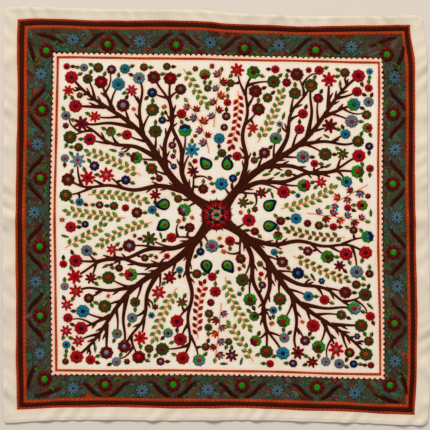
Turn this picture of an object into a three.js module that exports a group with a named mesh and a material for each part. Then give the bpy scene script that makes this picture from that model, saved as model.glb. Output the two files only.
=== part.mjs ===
// A square wrapping cloth of thin cotton, spread out flat on a surface.
// It is one piece of cloth with a turned hem on all four sides. It was folded in four,
// so the ends of two fold lines still stand up at the middle of each edge, and small
// puckers run in from the hem.
//
// Millimetres, +Z up. The cloth lies on z = 0, with the middle of its outline over the
// origin. +X is the cloth's right, +Y its top edge.

import * as THREE from "three";

// Driving sizes

const CLOTH_THICKNESS = 1.2;
const CUT_WIDTH = 895;
const CUT_HEIGHT = 880;
const HEM = { width: 8, step: 2, extra: 0.7 };
const CORNER_ROUNDING = 2.5;

// Where the four corners lie, because the cloth is a little out of square.
const CORNERS = {
  topLeft: { x: -449, y: 445 },
  topRight: { x: 438, y: 428 },
  bottomRight: { x: 451, y: -445 },
  bottomLeft: { x: -451, y: -440 },
};

// How far each edge bows outwards from the straight line between its corners.
// `at` runs from 0 to 1: left to right on the top and bottom, top to bottom on the sides.
const BOWS = {
  top: [
    { at: 0.0, out: 0.0 },
    { at: 0.05, out: 2.3 },
    { at: 0.22, out: 0.6 },
    { at: 0.44, out: 2.6 },
    { at: 0.58, out: -3.8 },
    { at: 0.72, out: -6.2 },
    { at: 0.88, out: -3.0 },
    { at: 1.0, out: 0.0 },
  ],
  bottom: [
    { at: 0.0, out: 0.0 },
    { at: 0.12, out: -6.4 },
    { at: 0.24, out: -8.0 },
    { at: 0.38, out: -7.0 },
    { at: 0.58, out: -9.2 },
    { at: 0.8, out: -5.4 },
    { at: 0.94, out: -1.0 },
    { at: 1.0, out: 0.0 },
  ],
  left: [
    { at: 0.0, out: 0.0 },
    { at: 0.05, out: 2.0 },
    { at: 0.22, out: 0.7 },
    { at: 0.5, out: 3.9 },
    { at: 0.85, out: 2.3 },
    { at: 1.0, out: 0.0 },
  ],
  right: [
    { at: 0.0, out: 0.0 },
    { at: 0.1, out: 9.6 },
    { at: 0.26, out: 8.4 },
    { at: 0.46, out: 6.3 },
    { at: 0.72, out: 8.2 },
    { at: 0.9, out: 6.0 },
    { at: 1.0, out: 0.0 },
  ],
};

// Puckers, and the ends of the two fold lines: soft ridges that run in from an edge.
// `at` is the place along the edge as in BOWS, `width` the half width of the ridge,
// `reach` how far it runs in, and `slant` how far it leans along the edge for each
// millimetre that it runs in.
const RIDGES = {
  top: [
    { at: 0.13, height: 1.8, width: 15, reach: 45, slant: 0.3 },
    { at: 0.25, height: 2.6, width: 13, reach: 55, slant: 0.2 },
    { at: 0.38, height: 3.2, width: 16, reach: 50, slant: 0.4 },
    { at: 0.49, height: 4.4, width: 14, reach: 130, slant: 0.0 },
    { at: 0.58, height: 2.6, width: 12, reach: 40, slant: -0.3 },
    { at: 0.65, height: 3.6, width: 12, reach: 45, slant: -0.6 },
    { at: 0.79, height: 3.0, width: 14, reach: 50, slant: -0.5 },
    { at: 0.93, height: 2.2, width: 13, reach: 40, slant: -0.2 },
  ],
  bottom: [
    { at: 0.1, height: 2.2, width: 15, reach: 45, slant: 0.4 },
    { at: 0.24, height: 3.2, width: 13, reach: 55, slant: 0.5 },
    { at: 0.35, height: 2.8, width: 12, reach: 45, slant: 0.3 },
    { at: 0.495, height: 4.2, width: 14, reach: 130, slant: 0.0 },
    { at: 0.6, height: 2.6, width: 13, reach: 45, slant: 0.5 },
    { at: 0.7, height: 2.8, width: 12, reach: 40, slant: 0.3 },
    { at: 0.8, height: 3.0, width: 14, reach: 50, slant: 0.5 },
    { at: 0.94, height: 2.6, width: 12, reach: 40, slant: 0.4 },
  ],
  left: [
    { at: 0.13, height: 3.0, width: 14, reach: 45, slant: -0.4 },
    { at: 0.24, height: 2.4, width: 12, reach: 40, slant: -0.2 },
    { at: 0.33, height: 2.6, width: 13, reach: 50, slant: 0.2 },
    { at: 0.42, height: 2.2, width: 12, reach: 40, slant: 0.3 },
    { at: 0.51, height: 4.6, width: 14, reach: 130, slant: 0.0 },
    { at: 0.63, height: 2.6, width: 13, reach: 45, slant: -0.3 },
    { at: 0.73, height: 2.6, width: 12, reach: 40, slant: 0.2 },
    { at: 0.82, height: 3.0, width: 13, reach: 50, slant: 0.4 },
    { at: 0.91, height: 3.8, width: 15, reach: 45, slant: 0.6 },
  ],
  right: [
    { at: 0.11, height: 2.6, width: 14, reach: 45, slant: 0.4 },
    { at: 0.24, height: 3.4, width: 12, reach: 50, slant: 0.2 },
    { at: 0.32, height: 2.2, width: 12, reach: 40, slant: -0.2 },
    { at: 0.4, height: 2.4, width: 13, reach: 45, slant: 0.3 },
    { at: 0.5, height: 4.4, width: 14, reach: 130, slant: 0.0 },
    { at: 0.65, height: 2.4, width: 13, reach: 45, slant: -0.2 },
    { at: 0.76, height: 2.8, width: 12, reach: 40, slant: 0.3 },
    { at: 0.87, height: 4.2, width: 14, reach: 50, slant: -0.6 },
    { at: 0.95, height: 3.0, width: 12, reach: 35, slant: -0.4 },
  ],
};

// The mesh is a set of square rings from the edge to the middle, with `points` on each
// side. They are closest where the hem and the puckers are.
const RINGS = [
  { inset: 0, points: 60 },
  { inset: HEM.width, points: 60 },
  { inset: HEM.width + HEM.step, points: 60 },
  { inset: 22, points: 60 },
  { inset: 36, points: 60 },
  { inset: 52, points: 60 },
  { inset: 76, points: 30 },
  { inset: 105, points: 30 },
  { inset: 135, points: 30 },
  { inset: 200, points: 10 },
  { inset: 300, points: 4 },
];

const SIDES = ["top", "right", "bottom", "left"];

// 0 at `from`, 1 at `to`, with a level start and end.
function smoothStep(value, from, to) {
  return THREE.MathUtils.smoothstep(value, from, to);
}

// How far the edge is bowed out at a place along it, eased between the table's rows.
function bowAt(rows, at) {
  const next = rows.findIndex((row, i) => i > 0 && at <= row.at);
  const [low, high] = [rows[next - 1], rows[next]];
  return THREE.MathUtils.lerp(low.out, high.out, smoothStep(at, low.at, high.at));
}

// Where a point of the flat cut lies on the surface. across and down run from 0 to 1
// from the top left corner. Each edge's bow fades away towards the opposite edge.
function laidOut(across, down) {
  const { topLeft, topRight, bottomRight, bottomLeft } = CORNERS;
  const lerp = THREE.MathUtils.lerp;
  const x = lerp(lerp(topLeft.x, topRight.x, across), lerp(bottomLeft.x, bottomRight.x, across), down);
  const y = lerp(lerp(topLeft.y, topRight.y, across), lerp(bottomLeft.y, bottomRight.y, across), down);
  const left = (1 - across) * bowAt(BOWS.left, down);
  const right = across * bowAt(BOWS.right, down);
  const top = (1 - down) * bowAt(BOWS.top, across);
  const bottom = down * bowAt(BOWS.bottom, across);
  return { x: x - left + right, y: y + top - bottom };
}

// For each side, how far a point is along it and in from it, in millimetres of the cut.
function fromEdge(side, across, down) {
  const alongTop = across * CUT_WIDTH;
  const alongSide = down * CUT_HEIGHT;
  return {
    top: { along: alongTop, inwards: alongSide, long: CUT_WIDTH },
    bottom: { along: alongTop, inwards: CUT_HEIGHT - alongSide, long: CUT_WIDTH },
    left: { along: alongSide, inwards: alongTop, long: CUT_HEIGHT },
    right: { along: alongSide, inwards: CUT_WIDTH - alongTop, long: CUT_HEIGHT },
  }[side];
}

// How high the underside stands off the surface. It is 0 over most of the cloth.
function liftAt(across, down) {
  let lift = 0;
  for (const side of SIDES) {
    const { along, inwards, long } = fromEdge(side, across, down);
    for (const ridge of RIDGES[side]) {
      const away = (along - ridge.at * long - ridge.slant * inwards) / ridge.width;
      if (inwards >= ridge.reach || Math.abs(away) >= 2) continue;
      const crest = 0.5 + 0.5 * Math.cos((Math.PI * away) / 2);
      lift = Math.max(lift, ridge.height * crest * (1 - smoothStep(inwards, 0, ridge.reach)));
    }
  }
  return lift;
}

// The thickness, which is more where the hem is turned under.
function thicknessAt(inset) {
  return CLOTH_THICKNESS + HEM.extra * (1 - smoothStep(inset, HEM.width, HEM.width + HEM.step));
}

// The points of one ring, clockwise from the top left corner as seen from above.
function ringPoints({ inset, points }) {
  const left = inset / CUT_WIDTH;
  const top = inset / CUT_HEIGHT;
  const walk = [
    { from: [left, top], to: [1 - left, top] },
    { from: [1 - left, top], to: [1 - left, 1 - top] },
    { from: [1 - left, 1 - top], to: [left, 1 - top] },
    { from: [left, 1 - top], to: [left, top] },
  ];
  return walk.flatMap(({ from, to }) =>
    Array.from({ length: points }, (_, i) => {
      const share = i / points;
      const across = THREE.MathUtils.lerp(from[0], to[0], share);
      const down = THREE.MathUtils.lerp(from[1], to[1], share);
      const { x, y } = laidOut(across, down);
      const pulled = i === 0 ? CORNER_ROUNDING * (1 - smoothStep(inset, 0, HEM.width)) : 0;
      return {
        x: x - Math.sign(x) * pulled,
        y: y - Math.sign(y) * pulled,
        low: liftAt(across, down),
        thick: thicknessAt(inset),
      };
    }),
  );
}

// Triangles between two neighbouring rings, whose sides may have different numbers of
// points. Each step moves on along the ring whose next point comes first.
function joinRings(outer, inner) {
  const triangles = [];
  for (let side = 0; side < 4; side++) {
    const on = (ring, i) => ring.start + ((side * ring.points + i) % (4 * ring.points));
    let [i, j] = [0, 0];
    while (i < outer.points || j < inner.points) {
      const outerNext = (i + 1) / outer.points;
      const innerNext = (j + 1) / inner.points;
      if (j === inner.points || (i < outer.points && outerNext <= innerNext)) {
        triangles.push([on(outer, i), on(inner, j), on(outer, i + 1)]);
        i++;
      } else {
        triangles.push([on(outer, i), on(inner, j), on(inner, j + 1)]);
        j++;
      }
    }
  }
  return triangles;
}

// The closed sheet: the rings and a fan in the middle make the upper side, the same
// triangles turned over make the underside, and a strip joins them round the edge.
function sheetGeometry() {
  const points = [];
  const rings = RINGS.map((ring) => {
    const start = points.length;
    points.push(...ringPoints(ring));
    return { start, points: ring.points };
  });
  const middle = points.length;
  points.push({ ...laidOut(0.5, 0.5), low: 0, thick: CLOTH_THICKNESS });

  const upper = rings.slice(1).flatMap((inner, i) => joinRings(rings[i], inner));
  const last = rings.at(-1);
  for (let i = 0; i < 4 * last.points; i++) {
    upper.push([last.start + i, middle, last.start + ((i + 1) % (4 * last.points))]);
  }

  const under = points.length;
  const turnedOver = upper.map(([a, b, c]) => [under + a, under + c, under + b]);
  const edge = [];
  const around = 4 * rings[0].points;
  for (let i = 0; i < around; i++) {
    const next = (i + 1) % around;
    edge.push([i, next, under + i], [next, under + next, under + i]);
  }

  const heights = [
    ...points.map(({ x, y, low, thick }) => [x, y, low + thick]),
    ...points.map(({ x, y, low }) => [x, y, low]),
  ];
  const geometry = new THREE.BufferGeometry();
  geometry.setAttribute("position", new THREE.Float32BufferAttribute(heights.flat(), 3));
  geometry.setIndex([...upper, ...turnedOver, ...edge].flat());
  geometry.computeBoundingBox();
  const centre = geometry.boundingBox.getCenter(new THREE.Vector3());
  geometry.translate(-centre.x, -centre.y, 0);
  geometry.computeVertexNormals();
  return geometry;
}

const cotton = new THREE.MeshStandardMaterial({
  color: 0xece4d2,
  roughness: 0.9,
  metalness: 0,
});

const cloth = new THREE.Mesh(sheetGeometry(), cotton);
cloth.name = "cloth";

const wrappingCloth = new THREE.Group();
wrappingCloth.add(cloth);

export default wrappingCloth;
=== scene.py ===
# %% [markdown]
# # An embroidered wrapping cloth, spread out flat
#
# The real thing is one square of unbleached plain-weave cotton, about 0.9 m wide, with a
# turned hem. Coloured cotton thread covers it: a dark floral border between red lines, and
# a cream field full of flowering boughs. This notebook builds it the way it was worked.
# First comes the cloth, then the finish of each thread, then every motif as padding and
# single stitches, laid on the cloth where the needle would have put them.
#
# Lengths in the tables are millimetres of the real cloth. `MM` turns them into metres.

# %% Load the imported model, which is the frame for everything
import math

import bpy
import numpy as np
from mathutils.kdtree import KDTree
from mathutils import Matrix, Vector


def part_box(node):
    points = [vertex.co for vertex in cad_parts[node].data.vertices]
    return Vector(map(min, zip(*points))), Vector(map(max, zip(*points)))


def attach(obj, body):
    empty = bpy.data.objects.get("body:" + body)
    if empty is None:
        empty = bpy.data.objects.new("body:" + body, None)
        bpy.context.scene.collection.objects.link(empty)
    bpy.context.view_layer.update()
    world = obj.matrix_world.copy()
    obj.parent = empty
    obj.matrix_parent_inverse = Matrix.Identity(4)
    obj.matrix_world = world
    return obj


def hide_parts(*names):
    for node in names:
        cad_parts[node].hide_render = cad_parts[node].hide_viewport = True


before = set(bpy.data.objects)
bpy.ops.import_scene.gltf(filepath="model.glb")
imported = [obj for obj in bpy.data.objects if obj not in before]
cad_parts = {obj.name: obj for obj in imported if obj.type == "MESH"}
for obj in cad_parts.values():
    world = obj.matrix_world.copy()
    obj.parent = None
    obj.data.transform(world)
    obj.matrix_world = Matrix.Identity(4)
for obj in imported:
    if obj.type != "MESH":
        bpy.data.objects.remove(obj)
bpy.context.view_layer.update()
MM = 0.001
CLOTH_LOW, CLOTH_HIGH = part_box("cloth")
print("cloth solid, mm:", [round(side / MM, 1) for side in CLOTH_HIGH - CLOTH_LOW])

# %% [markdown]
# ## The camera
# The picture looks straight down on the cloth from far enough away that its edges don't
# converge, so a long lens stands high above the middle. The right edge of the cloth just
# runs out of the picture.

# %% Set the camera
PICTURE_WIDTH = 917
PICTURE_MIDDLE = (-3.0, 2.4)
LENS = 85
SENSOR = 36

eye = bpy.data.cameras.new("camera")
eye.lens = LENS
eye.sensor_width = SENSOR
camera = bpy.data.objects.new("camera", eye)
bpy.context.scene.collection.objects.link(camera)
camera_height = PICTURE_WIDTH * LENS / SENSOR
camera.location = (PICTURE_MIDDLE[0] * MM, PICTURE_MIDDLE[1] * MM, camera_height * MM)
bpy.context.scene.camera = camera
print("camera height, mm:", round(camera_height))

# %% [markdown]
# ## The lie of the cloth
# A hand-made square is never quite square. Its edges bow in and out, it puckers behind
# the hem, and the two fold lines from its years in a drawer stand up a little where they
# reach the edge. The cut, its bows and its puckers have the sizes of the solid, and only the
# step behind the hem is wider, so that it shades softly. `at` is the place along an edge
# from 0 to 1, left to right or top to bottom.

# %% The sizes of the cut cloth
CUT_WIDTH = 895
CUT_HEIGHT = 880
CLOTH_THICKNESS = 1.2
HEM_WIDTH = 8
HEM_STEP = 5
HEM_EXTRA = 0.7

TOP_LEFT = (-449, 445)
TOP_RIGHT = (438, 428)
BOTTOM_RIGHT = (451, -445)
BOTTOM_LEFT = (-451, -440)

# How far each edge bows outwards: (at, out)
BOWS = {
    "top": [(0, 0), (0.05, 2.3), (0.22, 0.6), (0.44, 2.6), (0.58, -3.8), (0.72, -6.2),
            (0.88, -3.0), (1, 0)],
    "bottom": [(0, 0), (0.12, -6.4), (0.24, -8.0), (0.38, -7.0), (0.58, -9.2),
               (0.8, -5.4), (0.94, -1.0), (1, 0)],
    "left": [(0, 0), (0.05, 2.0), (0.22, 0.7), (0.5, 3.9), (0.85, 2.3), (1, 0)],
    "right": [(0, 0), (0.1, 9.6), (0.26, 8.4), (0.46, 6.3), (0.72, 8.2), (0.9, 6.0),
              (1, 0)],
}

# The puckers behind the hem and the ends of the folds: (at, height, half width, reach, slant)
PUCKERS = {
    "top": [
        (0.13, 1.8, 15, 45, 0.3), (0.25, 2.6, 13, 55, 0.2), (0.38, 3.2, 16, 50, 0.4),
        (0.49, 4.4, 14, 130, 0.0), (0.58, 2.6, 12, 40, -0.3), (0.65, 3.6, 12, 45, -0.6),
        (0.79, 3.0, 14, 50, -0.5), (0.93, 2.2, 13, 40, -0.2),
    ],
    "bottom": [
        (0.1, 2.2, 15, 45, 0.4), (0.24, 3.2, 13, 55, 0.5), (0.35, 2.8, 12, 45, 0.3),
        (0.495, 4.2, 14, 130, 0.0), (0.6, 2.6, 13, 45, 0.5), (0.7, 2.8, 12, 40, 0.3),
        (0.8, 3.0, 14, 50, 0.5), (0.94, 2.6, 12, 40, 0.4),
    ],
    "left": [
        (0.13, 3.0, 14, 45, -0.4), (0.24, 2.4, 12, 40, -0.2), (0.33, 2.6, 13, 50, 0.2),
        (0.42, 2.2, 12, 40, 0.3), (0.51, 4.6, 14, 130, 0.0), (0.63, 2.6, 13, 45, -0.3),
        (0.73, 2.6, 12, 40, 0.2), (0.82, 3.0, 13, 50, 0.4), (0.91, 3.8, 15, 45, 0.6),
    ],
    "right": [
        (0.11, 2.6, 14, 45, 0.4), (0.24, 3.4, 12, 50, 0.2), (0.32, 2.2, 12, 40, -0.2),
        (0.4, 2.4, 13, 45, 0.3), (0.5, 4.4, 14, 130, 0.0), (0.65, 2.4, 13, 45, -0.2),
        (0.76, 2.8, 12, 40, 0.3), (0.87, 4.2, 14, 50, -0.6), (0.95, 3.0, 12, 35, -0.4),
    ],
}


# %% From the flat cut to the cloth as it lies
def eased(value, low, high):
    """0 at low, 1 at high, with a level start and end."""
    t = np.clip((np.asarray(value, float) - low) / (high - low), 0, 1)
    return t * t * (3 - 2 * t)


def bow_at(rows, at):
    """How far an edge is bowed out at places along it, eased between the rows."""
    out = np.zeros_like(at)
    for (low, low_out), (high, high_out) in zip(rows, rows[1:]):
        between = (at >= low) & (at <= high)
        out = np.where(between, low_out + (high_out - low_out) * eased(at, low, high), out)
    return out


def bilinear(across, down, top_left, top_right, bottom_right, bottom_left):
    """A point between four corners. across and down run from 0 to 1 from the top left."""
    across, down = np.asarray(across, float)[..., None], np.asarray(down, float)[..., None]
    top = (1 - across) * np.array(top_left, float) + across * np.array(top_right, float)
    low = (1 - across) * np.array(bottom_left, float) + across * np.array(bottom_right, float)
    return (1 - down) * top + down * low


def bowed(across, down, corners, bows):
    """The same, with each edge bowed. A bow fades away towards the opposite edge."""
    across, down = np.asarray(across, float), np.asarray(down, float)
    place = bilinear(across, down, *corners)
    at_across, at_down = np.clip(across, 0, 1), np.clip(down, 0, 1)
    place[..., 0] += across * bow_at(bows["right"], at_down)
    place[..., 0] -= (1 - across) * bow_at(bows["left"], at_down)
    place[..., 1] += (1 - down) * bow_at(bows["top"], at_across)
    place[..., 1] -= down * bow_at(bows["bottom"], at_across)
    return place


EDGE_POINTS = 400
CUT_CORNERS = (TOP_LEFT, TOP_RIGHT, BOTTOM_RIGHT, BOTTOM_LEFT)
along_edge = np.linspace(0, 1, EDGE_POINTS)
start_of, end_of = np.zeros(EDGE_POINTS), np.ones(EDGE_POINTS)
outline = np.concatenate([
    bowed(across, down, CUT_CORNERS, BOWS)
    for across, down in ((along_edge, start_of), (end_of, along_edge),
                         (along_edge, end_of), (start_of, along_edge))
])
solid_middle = np.array(CLOTH_LOW + CLOTH_HIGH)[:2] / 2 / MM
SHIFT = solid_middle - (outline.min(0) + outline.max(0)) / 2


def laid_out(across, down):
    """Where a point of the cut lies on the surface, in millimetres."""
    return bowed(across, down, CUT_CORNERS, BOWS) + SHIFT


CLOSING_ROUNDS = 4


def cut_place(places):
    """The reverse: across and down for places on the surface, by closing in on them."""
    across = places[..., 0] / CUT_WIDTH + 0.5
    down = 0.5 - places[..., 1] / CUT_HEIGHT
    for _ in range(CLOSING_ROUNDS):
        miss = places - laid_out(across, down)
        across = across + miss[..., 0] / CUT_WIDTH
        down = down - miss[..., 1] / CUT_HEIGHT
    return across, down


print("cut moved by, mm:", SHIFT.round(2))

# %% [markdown]
# ## Puckers, folds and ripples
# The big puckers could be sculpted or simulated. Here each one is a soft ridge with a
# cosine section that dies away from the edge, because a few numbers then say where it is
# and every stitch can ask how high the cloth is under it. Below them lie finer marks: the
# two sharp folds right across, and ripples in the plain margin where the stitching has
# drawn the cotton in.

# %% How high the cloth stands off the surface
FOLD_ACROSS = 0.484
FOLD_DOWN = 0.5055
FOLD_HEIGHT = 0.7
FOLD_HALF_WIDTH = 4.5
# How the folds wander: (distance, length of the wave, start)
UPRIGHT_WANDER = ((2.2, 83, 0), (1.1, 29, 1))
LEVEL_WANDER = ((1.8, 71, 2), (0.9, 23, 0))
# Where the folds are softer: how much, and how long the soft stretches are
FOLD_SOFTER = 0.25
FOLD_STRETCHES = (61, 47)
RIPPLE_HEIGHT = 2.1
RIPPLE_FULL_TO = 18
RIPPLE_REACH = 36
RIPPLE_LENGTH = 5.6
RIPPLE_SLANT = 0.7
RIPPLE_CROWDING = 2.1
RIPPLE_CROWDED_OVER = 47
RIPPLE_UNEVEN = 0.45
RIPPLE_UNEVEN_OVER = 31
SIDE_PHASE = 1.7
SWELL_HEIGHT = 0.5
# The swell's two waves: length, how far its crests bend, and the length of the bends
SWELL_ACROSS = (38, 1.3, 71)
SWELL_DOWN = (43, 1.1, 59)


def swayed(along, waves):
    """The sum of some waves at places along a line."""
    return sum(height * np.sin(along / length + start) for height, length, start in waves)


def bent_wave(along, beside_it, length, bend, bend_length):
    """A wave whose crests are bent by a longer wave that runs across them."""
    return np.sin(along / length + bend * np.sin(beside_it / bend_length))


def from_edges(across, down):
    """For each side: how far along it, how far in from it, and how long it is."""
    along_top, along_side = across * CUT_WIDTH, down * CUT_HEIGHT
    return {
        "top": (along_top, along_side, CUT_WIDTH),
        "bottom": (along_top, CUT_HEIGHT - along_side, CUT_WIDTH),
        "left": (along_side, along_top, CUT_HEIGHT),
        "right": (along_side, CUT_WIDTH - along_top, CUT_HEIGHT),
    }


def pucker_lift(across, down):
    """The soft ridges of the solid."""
    lift = np.zeros_like(across)
    for side, (along, inwards, long) in from_edges(across, down).items():
        for at, height, half_width, reach, slant in PUCKERS[side]:
            away = (along - at * long - slant * inwards) / half_width
            crest = np.where(np.abs(away) < 2, 0.5 + 0.5 * np.cos(math.pi * away / 2), 0)
            lift = np.maximum(lift, height * crest * (1 - eased(inwards, 0, reach)))
    return lift


def fold_lift(across, down):
    """The two fold lines, which wander a little and are sharper in places."""
    along_top, along_side = across * CUT_WIDTH, down * CUT_HEIGHT
    wander_x = swayed(along_side, UPRIGHT_WANDER)
    wander_y = swayed(along_top, LEVEL_WANDER)
    from_upright = np.abs(along_top - FOLD_ACROSS * CUT_WIDTH - wander_x)
    from_level = np.abs(along_side - FOLD_DOWN * CUT_HEIGHT - wander_y)
    upright = np.exp(-((from_upright / FOLD_HALF_WIDTH) ** 2))
    level = np.exp(-((from_level / FOLD_HALF_WIDTH) ** 2))
    over_top, over_side = FOLD_STRETCHES
    softer = FOLD_SOFTER * np.sin(along_side / over_side) * np.sin(along_top / over_top)
    return FOLD_HEIGHT * (1 - FOLD_SOFTER + softer) * np.maximum(upright, level)


def margin_ripples(across, down):
    """For each side: the wave of its slanting ripples, from 0 to 1, and the way in."""
    phase = 0.0
    for side, (along, inwards, long) in from_edges(across, down).items():
        crowding = RIPPLE_CROWDING * np.sin(along / RIPPLE_CROWDED_OVER + phase)
        wave = np.sin((along - RIPPLE_SLANT * inwards) / RIPPLE_LENGTH + crowding)
        uneven = RIPPLE_UNEVEN * np.sin(along / RIPPLE_UNEVEN_OVER + 2 * phase)
        yield 0.5 + 0.5 * wave * (1 - RIPPLE_UNEVEN + uneven), inwards
        phase += SIDE_PHASE


def ripple_lift(across, down):
    """Fine slanting ripples in the margin, and a low swell over the whole cloth."""
    lift = np.zeros_like(across)
    for wave, inwards in margin_ripples(across, down):
        lift += RIPPLE_HEIGHT * wave * (1 - eased(inwards, RIPPLE_FULL_TO, RIPPLE_REACH))
    x, y = across * CUT_WIDTH, down * CUT_HEIGHT
    swell = bent_wave(x, y, *SWELL_ACROSS) * bent_wave(y, x, *SWELL_DOWN)
    return lift + SWELL_HEIGHT * (0.5 + 0.5 * swell)


def lift_at(across, down):
    return np.maximum(pucker_lift(across, down), fold_lift(across, down)) + ripple_lift(across, down)


def thickness_at(inset):
    """The cloth's thickness, which is more where the hem is turned under."""
    return CLOTH_THICKNESS + HEM_EXTRA * (1 - eased(inset, HEM_WIDTH, HEM_WIDTH + HEM_STEP))


def inset_at(across, down):
    """How far a point of the cut is from the nearest edge."""
    x, y = across * CUT_WIDTH, down * CUT_HEIGHT
    return np.minimum(np.minimum(x, CUT_WIDTH - x), np.minimum(y, CUT_HEIGHT - y))


def upper_face(places):
    """The height of the cloth's upper face at places on the surface, in millimetres."""
    across, down = cut_place(places)
    return lift_at(across, down) + thickness_at(inset_at(across, down))


test_places = np.array([[0.0, 0.0], [-440.0, 0.0], [0.0, 440.0]])
print("upper face at the middle, left and top, mm:", upper_face(test_places).round(2))

# %% [markdown]
# ## The sheet
# The sheet is a fine net of squares with an upper face, an underside and an edge. A
# subdivided plane with modifiers would do, but a net written out in code can put its
# lines exactly on the hem's step, and it keeps the true thickness of the cloth.

# %% Weave the sheet as a net
NET_STEP = 6.0
HEM_LINES = (0, 0.6, 2, 5, HEM_WIDTH, HEM_WIDTH + HEM_STEP / 2, HEM_WIDTH + HEM_STEP)
EDGE_ROUND = 0.35


def net_lines(long):
    """Places of the net's lines along one side, closest at the hem."""
    start = HEM_LINES[-1]
    count = round((long - 2 * start) / NET_STEP)
    middle = np.linspace(start, long - start, count + 1)
    near = np.array(HEM_LINES[:-1], float)
    return np.concatenate([near, middle, long - near[::-1]])


def rounded_corner(near_side, near_end):
    """How far a point near a corner moves in, so that the square corner becomes an arc."""
    side = 1 - np.clip(near_side / HEM_WIDTH, 0, 1)
    end = 1 - np.clip(near_end / HEM_WIDTH, 0, 1)
    inwards = [side * (1 - np.sqrt(1 - end ** 2 / 2)), end * (1 - np.sqrt(1 - side ** 2 / 2))]
    return HEM_WIDTH * np.stack(inwards, axis=-1)


def sheet_points():
    """The net's places, its upper heights and its lower ones, as grids."""
    x, y = np.meshgrid(net_lines(CUT_WIDTH), net_lines(CUT_HEIGHT), indexing="ij")
    across, down = x / CUT_WIDTH, y / CUT_HEIGHT
    places = laid_out(across, down)
    near_side = np.minimum(x, CUT_WIDTH - x)
    near_end = np.minimum(y, CUT_HEIGHT - y)
    places = places - np.sign(places) * rounded_corner(near_side, near_end)
    inset = np.minimum(near_side, near_end)
    low = lift_at(across, down)
    rounding = EDGE_ROUND * (1 - eased(inset, 0, HEM_LINES[2]))
    high = low + thickness_at(inset) - rounding
    return places, low + rounding, high


def grid_faces(rows, columns, start=0, turned=False):
    """Squares between the points of a grid that is counted along its columns first."""
    corner = (np.arange(rows - 1)[:, None] * columns + np.arange(columns - 1)[None, :]).ravel()
    corner = corner + start
    faces = np.stack([corner, corner + columns, corner + columns + 1, corner + 1], axis=1)
    return faces[:, ::-1] if turned else faces


def rim_of_grid(rows, columns):
    """The points round a grid, in one turn."""
    index = np.arange(rows * columns).reshape(rows, columns)
    return np.concatenate([index[:-1, 0], index[-1, :-1], index[:0:-1, -1], index[0, :0:-1]])


def mesh_of(name, points, faces):
    """A mesh from points in millimetres and faces that count them."""
    mesh = bpy.data.meshes.new(name)
    mesh.from_pydata((points * MM).tolist(), [], faces)
    return mesh


def sheet_mesh(name):
    places, low, high = sheet_points()
    rows, columns = low.shape
    count = rows * columns
    places = places.reshape(-1, 2)
    upper = np.column_stack([places, high.ravel()])
    under = np.column_stack([places, low.ravel()])
    rim = rim_of_grid(rows, columns)
    after = np.roll(rim, -1)
    edge = np.stack([rim, rim + count, after + count, after], axis=1)
    faces = np.concatenate([
        grid_faces(rows, columns, 0, turned=True),
        grid_faces(rows, columns, count),
        edge[:, ::-1],
    ])
    mesh = mesh_of(name, np.concatenate([upper, under]), faces.tolist())
    mesh.validate()
    mesh.polygons.foreach_set("use_smooth", np.ones(len(mesh.polygons), bool))
    return mesh


def new_piece(name, mesh):
    """An object at the origin that wears the mesh."""
    piece = bpy.data.objects.new(name, mesh)
    bpy.context.scene.collection.objects.link(piece)
    return piece


cotton_sheet = new_piece("cotton_sheet", sheet_mesh("cotton_sheet"))
first_up = cotton_sheet.data.polygons[0].normal.z
print("sheet:", len(cotton_sheet.data.polygons), "squares; upper face points up:", first_up > 0)

# %% [markdown]
# ## Colours and a way to write finishes
# Thread and cloth colours are read off as sRGB hex, the way a dyer's card would give
# them, and one function turns them to the linear numbers that the shader wants. One small
# function adds a node: its settings are keywords, and each of its inputs is either a
# plain value or the output of another node.


# %% Colour and node helpers
def dye(hex_code, alpha=1.0):
    """A linear colour from an sRGB hex code."""
    parts = [int(hex_code[i:i + 2], 16) / 255 for i in (1, 3, 5)]
    linear = [p / 12.92 if p <= 0.04045 else ((p + 0.055) / 1.055) ** 2.4 for p in parts]
    return (*linear, alpha)


def add_node(tree, kind, inputs=None, **settings):
    """Adds a node. An input given as another node's output is linked, else it is set."""
    node = tree.nodes.new(kind)
    for name, value in settings.items():
        setattr(node, name, value)
    for socket, value in (inputs or {}).items():
        if isinstance(value, bpy.types.NodeSocket):
            tree.links.new(value, node.inputs[socket])
        else:
            node.inputs[socket].default_value = value
    return node


def new_finish(name):
    """An empty material, its tree, and its main shader."""
    finish = bpy.data.materials.new(name)
    finish.use_nodes = True
    tree = finish.node_tree
    tree.nodes.clear()
    shader = add_node(tree, "ShaderNodeBsdfPrincipled")
    out = add_node(tree, "ShaderNodeOutputMaterial")
    tree.links.new(shader.outputs["BSDF"], out.inputs["Surface"])
    return finish, tree, shader


print("mid grey as linear:", [round(c, 3) for c in dye("#808080")])

# %% [markdown]
# ## Unbleached cotton
# The ground is calico: plain-weave cotton, washed but never bleached. It is matt and
# faintly yellow, with thicker threads (slubs) that run both ways and soft stains of age.
# Its threads are half a millimetre apart, too fine for this picture, so the weave is
# drawn at 1.4 mm. The plain margin is greyer than the field, from years of hands, the
# hollows of its ripples are darkened with painted shade, and red dye has crept into the
# cotton beside the needlework. Three attributes carry these stains and this painted shade.

# %% Mix the cotton
WEAVE_PITCH = 1.4
WEAVE_DEPTH = 0.10
SLUB_LONG = 60
SLUB_WIDE = 2.6
STAIN_SIZE = 120
CREAM = "#dcdad1"
CREAM_AGED = "#d6cebb"
CREAM_PALE = "#e7e4da"
CREAM_HANDLED = "#d3ccbf"
DYE_CREPT = "#ee9c78"
# Painted shade for the hollows of the margin's ripples
HOLLOW_SHADE = "#a88d70"
# How far in from the edge the cotton is greyed by hands, and from where it is clean
HANDLED_TO = 55
CLEAN_FROM = 85


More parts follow.
